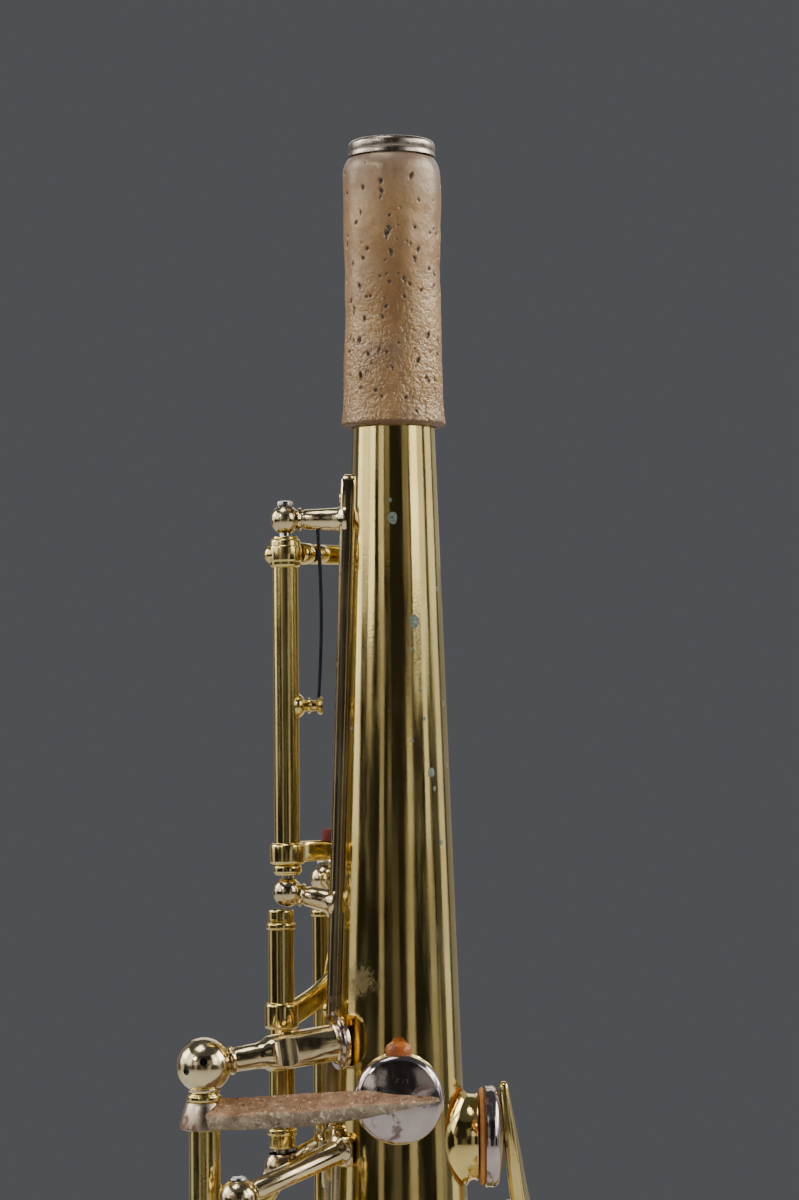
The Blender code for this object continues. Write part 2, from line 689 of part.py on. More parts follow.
def build():
    for item in list(bpy.data.objects):
        bpy.data.objects.remove(item, do_unlink=True)
    brass = metal("lacquered_brass", (0.66, 0.48, 0.22), 0.22)
    worn = metal("worn_brass", (0.42, 0.30, 0.17), 0.4)
    nickel = metal("nickel_silver", (0.42, 0.38, 0.34), 0.35)
    steel = metal("hinge_steel", (0.32, 0.31, 0.30), 0.3)
    cork = matte("cork", (0.42, 0.28, 0.17), 0.85)
    leather = matte("pad_leather", (0.55, 0.27, 0.09), 0.6)
    body_tube(brass)
    bell(brass)
    bell_rim_ring(brass)
    body_bell_ring(brass)
    neck_tip_ring(nickel)
    neck_cork(cork)
    for name in RIBS:
        rib_with_posts(name, worn)
    palm_eb_post(worn)
    for name in RODS:
        hinge_rod(name, steel)
    octave_keys(brass)
    palm_keys(brass, leather)
    side_keys(brass, leather)
    upper_stack(brass, -UPPER_OPEN)
    lower_stack(brass, leather, -LOWER_OPEN)
    bell_keys(brass, leather, BELL_OPEN)
    thumb_rest(brass)
    strap_ring(brass)
    thumb_hook(brass)


build()
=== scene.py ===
import json
import math
import random
from collections import namedtuple

import bmesh
import bpy
from mathutils import Matrix, Vector, noise


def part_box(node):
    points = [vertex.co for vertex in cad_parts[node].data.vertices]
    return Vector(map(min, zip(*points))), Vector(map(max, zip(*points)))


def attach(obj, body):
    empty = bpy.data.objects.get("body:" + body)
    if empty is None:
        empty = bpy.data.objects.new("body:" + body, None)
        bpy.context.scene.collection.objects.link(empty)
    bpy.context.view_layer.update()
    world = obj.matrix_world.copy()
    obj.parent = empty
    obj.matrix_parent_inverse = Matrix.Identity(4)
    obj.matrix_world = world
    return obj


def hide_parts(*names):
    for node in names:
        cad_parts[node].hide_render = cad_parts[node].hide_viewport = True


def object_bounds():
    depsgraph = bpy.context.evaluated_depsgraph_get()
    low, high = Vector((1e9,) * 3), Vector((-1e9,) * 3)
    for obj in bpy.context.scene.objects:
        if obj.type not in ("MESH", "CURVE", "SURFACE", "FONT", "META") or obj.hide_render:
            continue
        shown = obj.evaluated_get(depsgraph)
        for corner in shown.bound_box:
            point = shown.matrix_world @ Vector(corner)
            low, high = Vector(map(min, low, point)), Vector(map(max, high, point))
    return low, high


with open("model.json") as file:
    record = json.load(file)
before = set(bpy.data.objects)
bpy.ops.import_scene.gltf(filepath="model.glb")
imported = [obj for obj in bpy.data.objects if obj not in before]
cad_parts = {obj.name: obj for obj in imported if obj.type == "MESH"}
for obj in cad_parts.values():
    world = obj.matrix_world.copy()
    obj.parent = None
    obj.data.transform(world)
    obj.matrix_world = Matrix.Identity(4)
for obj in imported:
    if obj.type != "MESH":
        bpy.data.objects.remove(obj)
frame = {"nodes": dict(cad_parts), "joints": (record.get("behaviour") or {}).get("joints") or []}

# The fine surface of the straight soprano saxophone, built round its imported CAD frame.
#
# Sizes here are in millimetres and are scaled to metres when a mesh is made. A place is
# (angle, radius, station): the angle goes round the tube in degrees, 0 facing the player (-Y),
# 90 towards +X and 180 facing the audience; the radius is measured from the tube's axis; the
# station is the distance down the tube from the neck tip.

cad_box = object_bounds()
MM = 0.001
UP = Vector((0.0, 0.0, 1.0))
HEIGHT = cad_box[1].z / MM
PIVOTS = {joint["child"]: Vector(joint["pos_m"]) / MM for joint in frame["joints"]}

# The tube, as the CAD frame has it.
CORK_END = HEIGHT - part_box("neck_cork")[0].z / MM
TIP_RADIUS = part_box("neck_tip_ring")[1].x / MM
CORK_RADIUS = TIP_RADIUS + 1.0
BODY_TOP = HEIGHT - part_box("body_tube")[1].z / MM
BODY_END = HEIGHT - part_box("body_tube")[0].z / MM
BELL_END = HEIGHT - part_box("bell")[0].z / MM
BELL_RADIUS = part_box("bell")[1].x / MM
RIM_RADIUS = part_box("bell_rim_ring")[1].x / MM
RIM_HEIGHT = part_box("bell_rim_ring")[1].z / MM
RADIUS_AT_CORK_END = 6.6
TAPER = 0.035
WALL = 0.9
CHIMNEY = 2.0
CHIMNEY_WALL = 0.7
PIP_WALL = 1.2
SMALL_BORE = 3.0
CUP_OVERLAP = 1.9
CUP_DEPTH = 3.2
SEAT_GAP = 0.2
RIB_LIFT = 0.3
RIB_THICKNESS = 1.3
RIB_SINK = 0.65
TUBE_RADIUS = 2.1
ROD_RADIUS = 1.0
POST_BALL = 2.4
PEARL_RADIUS = 4.8
SMALL_PEARL_RADIUS = 3.4
UPPER_OPEN = 11.0
LOWER_OPEN = 10.0
BELL_OPEN = 11.0
SHARP_ANGLE = 42


def outer_radius(station):
    return RADIUS_AT_CORK_END + TAPER * (station - CORK_END)


def polar(angle, radius, station):
    turn = math.radians(angle)
    return Vector((radius * math.sin(turn), -radius * math.cos(turn), HEIGHT - station))


def outward(angle):
    return polar(angle, 1.0, HEIGHT)


def around(angle):
    turn = math.radians(angle)
    return Vector((math.cos(turn), math.sin(turn), 0.0))


def route(*places):
    """The points of a path given as (angle, radius, station) places."""
    return [polar(*place) for place in places]


def on_line(key, station):
    """The point of a key's hinge axis at a station."""
    pivot = PIVOTS[key]
    return Vector((pivot.x, pivot.y, HEIGHT - station))


def line_angle(key):
    return math.degrees(math.atan2(PIVOTS[key].x, -PIVOTS[key].y))


# ------------------------------------------------------------------ shapes

def loft(shape, rings, wrap=False):
    """Skin a run of rings. With wrap, the last ring joins the first; without, the ends are capped."""
    made = [[shape.verts.new(point) for point in ring] for ring in rings]
    pairs = list(zip(made, made[1:]))
    if wrap:
        pairs.append((made[-1], made[0]))
    for here, there in pairs:
        count = len(here)
        for index in range(count):
            following = (index + 1) % count
            shape.faces.new((here[index], here[following], there[following], there[index]))
    if not wrap:
        shape.faces.new(made[0][::-1])
        shape.faces.new(made[-1])


def lathe(shape, profile, base, axis, segments=48, ring=False):
    """Turn (radius, height) points round an axis. Profiles that start or end at radius 0 close there."""
    frame_matrix = UP.rotation_difference(axis).to_matrix()
    circle = [
        (math.cos(math.tau * step / segments), math.sin(math.tau * step / segments))
        for step in range(segments)]
    rings = []
    for radius, height in profile:
        if radius < 1e-6:
            rings.append([shape.verts.new(base + frame_matrix @ Vector((0.0, 0.0, height)))])
        else:
            rings.append([
                shape.verts.new(base + frame_matrix @ Vector((radius * c, radius * s, height)))
                for c, s in circle])
    pairs = list(zip(rings, rings[1:]))
    if ring:
        pairs.append((rings[-1], rings[0]))
    for here, there in pairs:
        for index in range(segments):
            following = (index + 1) % segments
            if len(here) == 1 and len(there) == 1:
                continue
            if len(here) == 1:
                shape.faces.new((here[0], there[following], there[index]))
            elif len(there) == 1:
                shape.faces.new((here[index], here[following], there[0]))
            else:
                shape.faces.new((here[index], here[following], there[following], there[index]))


def plug(shape, radius, low, high, base, axis, segments):
    """A plain closed cylinder round an axis, from one height to another."""
    lathe(shape, [(0.0, low), (radius, low), (radius, high), (0.0, high)], base, axis, segments)


def arc(centre, radius, start, end, steps=6):
    """Points of a round stretch of an outline, angles in degrees from the +radius direction."""
    points = []
    for step in range(steps + 1):
        turn = math.radians(start + (end - start) * step / steps)
        points.append((centre[0] + radius * math.cos(turn), centre[1] + radius * math.sin(turn)))
    return points


def ball(shape, centre, radius, axis=UP, segments=40):
    profile = [(0.0, -radius)] + arc((0.0, 0.0), radius, -80, 80, 16) + [(0.0, radius)]
    lathe(shape, profile, centre, axis, segments)


def smooth_path(points, steps=7):
    """Catmull-Rom points through a given path."""
    ends = [points[0] * 2 - points[1]] + list(points) + [points[-1] * 2 - points[-2]]
    path = []
    for before, here, there, after in zip(ends, ends[1:], ends[2:], ends[3:]):
        for step in range(steps):
            t = step / steps
            path.append(0.5 * (
                2 * here + (there - before) * t + (2 * before - 5 * here + 4 * there - after) * t * t
                + (3 * here - before - 3 * there + after) * t ** 3))
    path.append(points[-1].copy())
    return path


def section(width, thickness, power=4.0, count=20):
    """A rounded bar section: a superellipse, squarer as power grows."""
    points = []
    for step in range(count):
        turn = math.tau * step / count
        c, s = math.cos(turn), math.sin(turn)
        points.append((
            width / 2 * math.copysign(abs(c) ** (2 / power), c),
            thickness / 2 * math.copysign(abs(s) ** (2 / power), s)))
    return points


def along_list(values, share):
    """The value a share of the way along an evenly spaced list."""
    place = share * (len(values) - 1)
    index = min(int(place), len(values) - 2)
    return values[index] + (values[index + 1] - values[index]) * (place - index)


def sweep(shape, points, widths, thicknesses, across, power=4.0, outline=None, across_end=None):
    """A bar with rounded edges and ends along a smooth path, its width along `across`.

    Widths and thicknesses are spread evenly over the path's points. The bar twists if it has an
    `across_end`. An outline of (width share, thickness share) points, each from -0.5 to 0.5,
    replaces the rounded section."""
    path = smooth_path(points)
    last = len(path) - 1
    rings = []

    def ring_at(index, shift, scale):
        along = (path[min(index + 1, last)] - path[max(index - 1, 0)]).normalized()
        share = index / last
        lie = across.lerp(across_end, share) if across_end else across
        side = (lie - along * lie.dot(along)).normalized()
        normal = along.cross(side)
        width = along_list(widths, share) * scale
        thick = along_list(thicknesses, share) * scale
        centre = path[index] + along * shift
        if outline:
            edge = [(width * u, thick * v) for u, v in outline]
        else:
            edge = section(width, thick, power)
        return [centre + side * u + normal * v for u, v in edge]

    start = thicknesses[0] * 0.5
    end = thicknesses[-1] * 0.5
    rings.append(ring_at(0, -start, 0.45))
    rings.append(ring_at(0, -start * 0.7, 0.8))
    rings.extend(ring_at(index, 0.0, 1.0) for index in range(last + 1))
    rings.append(ring_at(last, end * 0.7, 0.8))
    rings.append(ring_at(last, end, 0.45))
    loft(shape, rings)


def oval(shape, centre, facing, length, width, thickness, dish=0.0):
    """A softly rounded touch plate, its long way up the tube, dished on its face."""
    across = UP.cross(facing).normalized()
    up = facing.cross(across)
    profile = [(0.0, -0.5), (0.55, -0.48), (0.86, -0.36), (0.98, -0.1), (1.0, 0.12), (0.965, 0.36),
               (0.88, 0.47), (0.7, 0.5 - dish * 0.3), (0.4, 0.5 - dish * 0.8), (0.0, 0.5 - dish)]
    flat = bmesh.new()
    lathe(flat, profile, Vector(), UP, 44)
    matrix = Matrix((across, up, facing)).transposed().to_4x4()
    size = Matrix.Diagonal((width / 2, length / 2, thickness, 1.0))
    bmesh.ops.transform(flat, matrix=Matrix.Translation(centre) @ matrix @ size, verts=flat.verts[:])
    merge(shape, flat)


def merge(shape, other):
    mesh = bpy.data.meshes.new("loose")
    other.to_mesh(mesh)
    other.free()
    shape.from_mesh(mesh)
    bpy.data.meshes.remove(mesh)


def to_mesh(name, shape, turn_about=None, turn=0.0):
    bmesh.ops.recalc_face_normals(shape, faces=shape.faces[:])
    if turn_about is not None and turn:
        matrix = (Matrix.Translation(turn_about) @ Matrix.Rotation(math.radians(turn), 4, "Z")
                  @ Matrix.Translation(-turn_about))
        bmesh.ops.transform(shape, matrix=matrix, verts=shape.verts[:])
    bmesh.ops.scale(shape, vec=(MM, MM, MM), verts=shape.verts[:])
    mesh = bpy.data.meshes.new(name)
    shape.to_mesh(mesh)
    shape.free()
    mesh.shade_smooth()
    mesh.set_sharp_from_angle(angle=math.radians(SHARP_ANGLE))
    return mesh


def piece(name, shape, material, body, replaces=(), turn=0.0):
    """A finished piece of the model, riding on its CAD body."""
    about = PIVOTS.get(body)
    item = bpy.data.objects.new(name, to_mesh(name, shape, about, turn))
    bpy.context.collection.objects.link(item)
    item.data.materials.append(material)
    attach(item, body)
    if replaces:
        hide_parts(*replaces)
    return item


def turned(name, profile, base, axis, segments, material, body, replaces=(), turn=0.0, ring=False):
    """A piece that is a single turned shape."""
    shape = bmesh.new()
    lathe(shape, profile, base, axis, segments, ring)
    return piece(name, shape, material, body, replaces, turn)


def cut(item, cutter_shape):
    """Take a closed shape away from a piece's mesh."""
    cutter = bpy.data.objects.new("cutter", to_mesh("cutter", cutter_shape))
    bpy.context.collection.objects.link(cutter)
    modifier = item.modifiers.new("holes", "BOOLEAN")
    modifier.operation = "DIFFERENCE"
    modifier.solver = "MANIFOLD"
    modifier.object = cutter
    graph = bpy.context.evaluated_depsgraph_get()
    result = bpy.data.meshes.new_from_object(item.evaluated_get(graph))
    result.name = item.name
    item.modifiers.clear()
    item.data = result
    bpy.data.objects.remove(cutter)
    item.data.shade_smooth()
    item.data.set_sharp_from_angle(angle=math.radians(SHARP_ANGLE))


# ------------------------------------------------------------------ materials

class Surface:
    """A procedural material being built: small helpers round one node tree."""

    def __init__(self, name, colour, metallic, roughness):
        self.material = bpy.data.materials.new(name)
        self.material.use_nodes = True
        self.tree = self.material.node_tree
        self.shader = self.tree.nodes["Principled BSDF"]
        self.shader.inputs["Base Color"].default_value = (*colour, 1.0)
        self.shader.inputs["Metallic"].default_value = metallic
        self.shader.inputs["Roughness"].default_value = roughness
        self.place = self.add("ShaderNodeTexCoord").outputs["Object"]
        self.heights = []

    def add(self, kind, **settings):
        node = self.tree.nodes.new(kind)
        for setting, value in settings.items():
            setattr(node, setting, value)
        return node

    def link(self, source, node, socket):
        self.tree.links.new(source, node.inputs[socket])

    def stretched(self, scale):
        mapping = self.add("ShaderNodeMapping")
        mapping.inputs["Scale"].default_value = scale
        self.link(self.place, mapping, "Vector")
        return mapping.outputs["Vector"]

    def noise(self, scale, detail=4.0, rough=0.55, stretch=(1.0, 1.0, 1.0), twist=0.0):
        node = self.add("ShaderNodeTexNoise")
        node.inputs["Scale"].default_value = scale
        node.inputs["Detail"].default_value = detail
        node.inputs["Roughness"].default_value = rough
        node.inputs["Distortion"].default_value = twist
        self.link(self.stretched(stretch), node, "Vector")
        return node.outputs["Fac"]

    def cells(self, scale, stretch=(1.0, 1.0, 1.0)):
        node = self.add("ShaderNodeTexVoronoi")
        node.inputs["Scale"].default_value = scale
        self.link(self.stretched(stretch), node, "Vector")
        return node.outputs["Distance"]

    def distance_from(self, place):
        node = self.add("ShaderNodeVectorMath", operation="DISTANCE")
        self.link(self.place, node, 0)
        node.inputs[1].default_value = place
        return node.outputs["Value"]

    def attribute(self, name):
        return self.add("ShaderNodeAttribute", attribute_name=name).outputs["Fac"]

    def spread(self, value, low, high, to_low=0.0, to_high=1.0):
        node = self.add("ShaderNodeMapRange")
        self.link(value, node, "Value")
        node.inputs["From Min"].default_value = low
        node.inputs["From Max"].default_value = high
        node.inputs["To Min"].default_value = to_low
        node.inputs["To Max"].default_value = to_high
        return node.outputs["Result"]

    def maths(self, operation, first, second):
        node = self.add("ShaderNodeMath", operation=operation)
        for index, value in enumerate((first, second)):
            if isinstance(value, float):
                node.inputs[index].default_value = value
            else:
                self.tree.links.new(value, node.inputs[index])
        return node.outputs["Value"]

    def mix(self, factor, first, second):
        node = self.add("ShaderNodeMix", data_type="RGBA")
        self.tree.links.new(factor, node.inputs["Factor"])
        for socket, colour in ((node.inputs[6], first), (node.inputs[7], second)):
            if isinstance(colour, tuple):
                socket.default_value = (*colour, 1.0)
            else:
                self.tree.links.new(colour, socket)
        return node.outputs[2]

    def colour(self, source):
        self.link(source, self.shader, "Base Color")

    def roughness(self, source):
        self.link(source, self.shader, "Roughness")

    def bump(self, height, strength, distance):
        node = self.add("ShaderNodeBump")
        node.inputs["Strength"].default_value = strength
        node.inputs["Distance"].default_value = distance
        self.link(height, node, "Height")
        if self.heights:
            self.link(self.heights[-1], node, "Normal")
        self.heights.append(node.outputs["Normal"])
        self.link(self.heights[-1], self.shader, "Normal")


def worn_metal(name, clean, shaded, tarnish, smooth, dull, tarnish_from, wave=0.02, grain=0.03, stains=()):
    """Metal that varies in colour and polish, with tarnish in patches and a slight unevenness.

    A stain is (place in metres, radius in metres, colour, strength): a burnt or worn patch with a
    ragged edge."""
    surface = Surface(name, clean, 1.0, smooth)
    cloud = surface.spread(surface.noise(90.0, 3.0), 0.35, 0.65)
    patches = surface.spread(surface.noise(330.0, 7.0, 0.62, twist=0.6), tarnish_from, tarnish_from + 0.09)
    base = surface.mix(patches, surface.mix(cloud, clean, shaded), tarnish)
    rough = surface.spread(surface.noise(700.0, 5.0, 0.6, stretch=(1.0, 1.0, 0.08)), 0.4, 0.72, smooth, dull)
    for place, radius, colour, strength in stains:
        ragged = surface.maths("MULTIPLY", surface.noise(800.0, 8.0, 0.85, twist=0.8), radius * 3.0)
        reach = surface.maths("ADD", surface.distance_from(place), ragged)
        mask = surface.spread(reach, radius * 2.5, radius * 1.6, 0.0, strength)
        base = surface.mix(mask, base, colour)
        rough = surface.maths("MAXIMUM", rough, surface.maths("MULTIPLY", mask, 0.5))
    surface.colour(base)
    surface.roughness(surface.maths("MAXIMUM", rough, surface.maths("MULTIPLY", patches, dull + 0.22)))
    surface.bump(surface.noise(120.0, 1.0, 0.4, stretch=(1.0, 1.0, 0.25)), wave, 0.002)
    surface.bump(surface.noise(2600.0, 4.0, 0.6), grain, 0.0004)
    return surface.material


BRASS = (0.80, 0.655, 0.275)
BRASS_SHADED = (0.68, 0.53, 0.20)
BRASS_TARNISH = (0.30, 0.19, 0.10)
BURN = (0.085, 0.055, 0.045)
WORN_PATCH = (0.42, 0.33, 0.22)
FELT_RED = (0.30, 0.07, 0.06)
tube_brass = worn_metal(
    "tube_lacquer", BRASS, BRASS_SHADED, (0.44, 0.30, 0.15), 0.07, 0.2, 0.7, wave=0.05, grain=0.02,
    stains=[
        (polar(-37.0, outer_radius(133.5), 133.5) * MM, 0.0040, BURN, 0.85),
        (polar(44.0, outer_radius(126.5), 126.5) * MM, 0.0032, WORN_PATCH, 0.35)])
key_brass = worn_metal(
    "key_lacquer", BRASS, BRASS_SHADED, BRASS_TARNISH, 0.1, 0.26, 0.66)
post_brass = worn_metal(
    "post_brass", (0.78, 0.66, 0.40), (0.56, 0.45, 0.27), (0.24, 0.15, 0.10), 0.1, 0.26, 0.61)
silver = worn_metal(
    "worn_plating", (0.54, 0.48, 0.47), (0.40, 0.33, 0.33), (0.22, 0.15, 0.15), 0.08, 0.22, 0.56, wave=0.4)
nickel = worn_metal(
    "nickel_silver", (0.46, 0.41, 0.35), (0.34, 0.29, 0.24), (0.16, 0.12, 0.10), 0.24, 0.42, 0.58, grain=0.08)
steel = worn_metal(
    "hinge_steel", (0.44, 0.43, 0.42), (0.32, 0.31, 0.31), (0.14, 0.11, 0.09), 0.18, 0.34, 0.62)
blued = worn_metal(
    "blued_steel", (0.07, 0.075, 0.10), (0.04, 0.045, 0.06), (0.12, 0.07, 0.04), 0.25, 0.4, 0.6)


def bare_arm_metal():
    """The palm E flat arm: its lacquer gone, grey and pitted on its front; its upward faces get a lighter
    coppery colour, partly the bare metal's tint and partly painted light from above.
    """
    surface = Surface("bare_brass", (0.30, 0.21, 0.14), 1.0, 0.45)
    split = surface.add("ShaderNodeSeparateXYZ")
    surface.link(surface.add("ShaderNodeTexCoord").outputs["Normal"], split, "Vector")
    # Faces that point up take the coppery colour: partly the bare metal's tint, partly painted light falling
    # from above.
    upper = surface.spread(split.outputs["Z"], 0.15, 0.4)
    cloud = surface.spread(surface.noise(420.0, 6.0, 0.65), 0.36, 0.64)
    copper_and_top_light = surface.mix(cloud, (0.22, 0.125, 0.075), (0.46, 0.29, 0.18))
    grey = surface.mix(cloud, (0.17, 0.13, 0.09), (0.40, 0.33, 0.24))
    base = surface.mix(upper, grey, copper_and_top_light)
    bright = surface.spread(surface.noise(1500.0, 5.0, 0.7), 0.56, 0.66)
    surface.colour(surface.mix(bright, base, (0.70, 0.60, 0.47)))
    surface.roughness(surface.spread(surface.noise(900.0, 5.0), 0.35, 0.7, 0.26, 0.55))
    surface.bump(surface.noise(1300.0, 6.0, 0.7), 0.6, 0.0007)
    return surface.material


def shellac_material():
    surface = Surface("shellac", (0.55, 0.16, 0.03), 0.0, 0.3)
    cloud = surface.spread(surface.noise(600.0, 4.0), 0.35, 0.65)
    surface.colour(surface.mix(cloud, (0.46, 0.12, 0.015), (0.20, 0.045, 0.01)))
    surface.roughness(surface.spread(surface.noise(800.0, 4.0), 0.3, 0.7, 0.2, 0.5))
    surface.bump(surface.noise(700.0, 3.0), 0.3, 0.0008)
    return surface.material


def cork_material():
    surface = Surface("cork", (0.36, 0.22, 0.11), 0.0, 0.45)
    surface.shader.inputs["IOR"].default_value = 1.85
    surface.shader.inputs["Specular Tint"].default_value = (1.0, 0.83, 0.60, 1.0)
    cloud = surface.spread(surface.noise(130.0, 5.0, 0.6, stretch=(1.0, 1.0, 0.45)), 0.34, 0.66)
    tan = surface.mix(cloud, (0.23, 0.12, 0.052), (0.43, 0.265, 0.125))
    mottle = surface.spread(surface.noise(800.0, 6.0, 0.7, stretch=(1.0, 1.0, 0.6)), 0.54, 0.7)
    tan = surface.mix(mottle, tan, (0.22, 0.12, 0.06))
    bruise = surface.spread(surface.noise(360.0, 6.0, 0.7, twist=0.5), 0.6, 0.7, 0.0, 0.7)
    tan = surface.mix(bruise, tan, (0.16, 0.10, 0.115))
    # Greyer towards the tip ring, fading out over the top 9 mm, and in scattered patches.
    tan = surface.mix(surface.attribute("greying"), tan, (0.23, 0.17, 0.15))
    tan = surface.mix(surface.attribute("foot"), tan, (0.10, 0.045, 0.02))
    # The pore colour follows how deep each pore's dent is: partly the pores' own dark colour, partly painted
    # shade inside them.
    surface.colour(surface.mix(surface.attribute("pore"), tan, (0.055, 0.030, 0.032)))
    surface.roughness(surface.spread(surface.noise(300.0, 4.0), 0.3, 0.7, 0.24, 0.42))
    surface.bump(surface.noise(1500.0, 6.0, 0.7, twist=0.5), 0.12, 0.0003)
    surface.bump(surface.cells(1500.0, (1.0, 1.0, 0.8)), 0.08, 0.0003)
    return surface.material


def leather_material():
    surface = Surface("pad_leather", (0.62, 0.27, 0.07), 0.0, 0.55)
    cloud = surface.spread(surface.noise(240.0, 4.0), 0.35, 0.65)
    surface.colour(surface.mix(cloud, (0.68, 0.30, 0.07), (0.46, 0.18, 0.05)))
    surface.roughness(surface.spread(surface.noise(500.0, 4.0), 0.3, 0.7, 0.42, 0.65))
    surface.bump(surface.cells(2600.0), 0.3, 0.0002)
    return surface.material


def felt_material():
    surface = Surface("red_felt", FELT_RED, 0.0, 0.95)
    fibres = surface.spread(surface.noise(1900.0, 6.0, 0.75, twist=1.5), 0.35, 0.65)
    surface.colour(surface.mix(fibres, FELT_RED, (0.14, 0.03, 0.03)))
    surface.roughness(surface.spread(fibres, 0.0, 1.0, 0.85, 1.0))
    surface.bump(fibres, 0.6, 0.0004)
    return surface.material


def pearl_material():
    surface = Surface("pearl", (0.80, 0.78, 0.74), 0.0, 0.16)
    bands = surface.noise(160.0, 5.0, 0.55, stretch=(1.0, 1.0, 0.5), twist=2.2)
    sheen = surface.mix(surface.spread(bands, 0.35, 0.5), (0.86, 0.80, 0.78), (0.74, 0.80, 0.77))
    surface.colour(surface.mix(surface.spread(bands, 0.5, 0.68), sheen, (0.84, 0.83, 0.90)))
    surface.roughness(surface.spread(surface.noise(900.0, 3.0), 0.3, 0.7, 0.12, 0.24))
    surface.bump(bands, 0.06, 0.0005)
    return surface.material


def speck_material():
    surface = Surface("verdigris", (0.22, 0.28, 0.23), 0.0, 0.8)
    grains = surface.spread(surface.noise(3000.0, 5.0, 0.7), 0.35, 0.65)
    surface.colour(surface.mix(grains, (0.26, 0.32, 0.27), (0.09, 0.12, 0.10)))
    surface.roughness(surface.spread(grains, 0.0, 1.0, 0.7, 0.95))
    surface.bump(grains, 0.5, 0.0003)
    return surface.material


def floor_material():
    surface = Surface("pale_floor", (0.62, 0.61, 0.60), 0.0, 0.9)
    cloud = surface.spread(surface.noise(3.0, 4.0), 0.3, 0.7)
    surface.colour(surface.mix(cloud, (0.64, 0.635, 0.63), (0.60, 0.595, 0.59)))
    return surface.material


bare_metal = bare_arm_metal()
worn_skirt = worn_metal(
    "worn_skirt", (0.54, 0.45, 0.35), (0.42, 0.33, 0.25), (0.24, 0.16, 0.11), 0.26, 0.44, 0.55, grain=0.12)
shellac = shellac_material()
cork_skin = cork_material()
leather = leather_material()
red_felt = felt_material()
pearl_shell = pearl_material()
verdigris = speck_material()


# ------------------------------------------------------------------ camera, lights and floor

# The stage's sizes and places are in metres.
CAMERA_PLACE = Vector((0.00072, -0.450, 0.564))
CAMERA_AIM = Vector((0.00072, 0.0, 0.5764))
CAMERA_ROLL = -0.45
LENS = 56.3
LIGHT_DISTANCE = 2.3
FLOOR_RADIUS = 2.2
LIGHT_TOP = 2.6

# Tall soft lights standing round the instrument: (name, direction in degrees, degrees wide, bottom and
# top in metres, how bright the face is, colour). The direction is 0 on the player's side, 90 on the right.
WARM = (1.0, 0.93, 0.82)
PLAIN = (1.0, 0.97, 0.91)
LIGHTS = [
    ("left_far", -104.0, 14.0, 0.63, LIGHT_TOP, 2.9, PLAIN),
    ("left_far_edge", -92.0, 8.0, 0.63, LIGHT_TOP, 1.9, PLAIN),
    ("left_far_mid", -97.0, 20.0, 0.50, 0.62, 1.1, PLAIN),
    ("left_far_low", -97.0, 18.0, -0.1, 0.49, 0.6, WARM),
    ("left_upper", -78.0, 18.0, 0.79, LIGHT_TOP, 1.7, PLAIN),
    ("left_upper_inner", -60.0, 16.0, 0.77, LIGHT_TOP, 2.4, PLAIN),
    ("left_upper_foot", -63.0, 12.0, 0.72, 0.78, 1.3, WARM),
    ("left_front", -34.0, 14.0, 0.78, 1.3, 1.0, WARM),
    ("left_front_low", -31.0, 9.0, -0.1, 0.77, 0.34, WARM),
    ("left_front_patch", -14.0, 8.0, 0.58, 0.66, 0.25, WARM),
    ("right_front_low", 25.0, 14.0, -0.1, 0.56, 0.44, WARM),
    ("right_front", 29.0, 12.0, 0.57, 0.68, 0.75, WARM),
    ("right_front_upper", 36.0, 7.0, 0.69, 0.88, 0.2, WARM),
    ("right_upper_core", 54.0, 21.0, 0.79, LIGHT_TOP, 2.9, PLAIN),
    ("right_upper", 74.0, 20.0, 0.70, LIGHT_TOP, 1.1, PLAIN),
    ("right_mid", 69.0, 12.0, 0.52, 0.69, 1.0, PLAIN),
    ("right_mid_low", 73.0, 14.0, -0.1, 0.51, 0.36, WARM),
    ("right_far_upper", 107.0, 26.0, 0.71, LIGHT_TOP, 1.15, PLAIN),
    ("right_far_low", 110.0, 18.0, -0.1, 0.70, 0.8, PLAIN),
    ("front_low", -3.0, 13.0, -0.1, 0.55, 0.10, WARM),
    ("right_low_edge", 84.0, 6.0, -0.1, 0.40, 0.22, WARM),
    ("left_front_top", -18.0, 12.0, 0.86, 1.6, 0.25, WARM),
    ("right_front_top", 30.0, 16.0, 0.83, 1.6, 0.25, WARM),
    ("right_back", 146.0, 36.0, 0.70, LIGHT_TOP, 0.34, PLAIN),
    ("right_back_low", 146.0, 36.0, -0.1, 0.69, 0.17, PLAIN),
    ("left_back", -140.0, 24.0, -0.1, LIGHT_TOP, 0.14, PLAIN),
    ("right_high", 98.0, 44.0, 1.1, LIGHT_TOP, 7.5, PLAIN),
    ("left_high", -100.0, 36.0, 1.3, LIGHT_TOP, 3.6, PLAIN),
    ("back_high", 180.0, 40.0, 1.3, LIGHT_TOP, 1.4, PLAIN),
]
TOP_LIGHT = Vector((-0.5, -0.35, 2.7))
TOP_LIGHT_SIZE = 0.9
TOP_LIGHT_STRENGTH = 5.0
SPARKS = [
    ("left_spark", (-1.15, -1.35, 1.55), 0.22, 34.0),
    ("right_spark", (1.5, -0.9, 1.35), 0.16, 22.0),
]
SPARK_AIM = Vector((0.0, 0.0, 0.5))
TOP_LIGHT_AIM = Vector((0.0, 0.0, 0.3))
WORLD_GREY = (0.085, 0.086, 0.092, 1.0)
CARD_DISTANCE = 2.55
CARD_THICKNESS = 0.01
CARD_SPAN = 84.0
CARD_STEPS = 32
CARD_BOTTOM = -0.1
CARD_TOP = 2.9
FLOOR_THICKNESS = 0.004


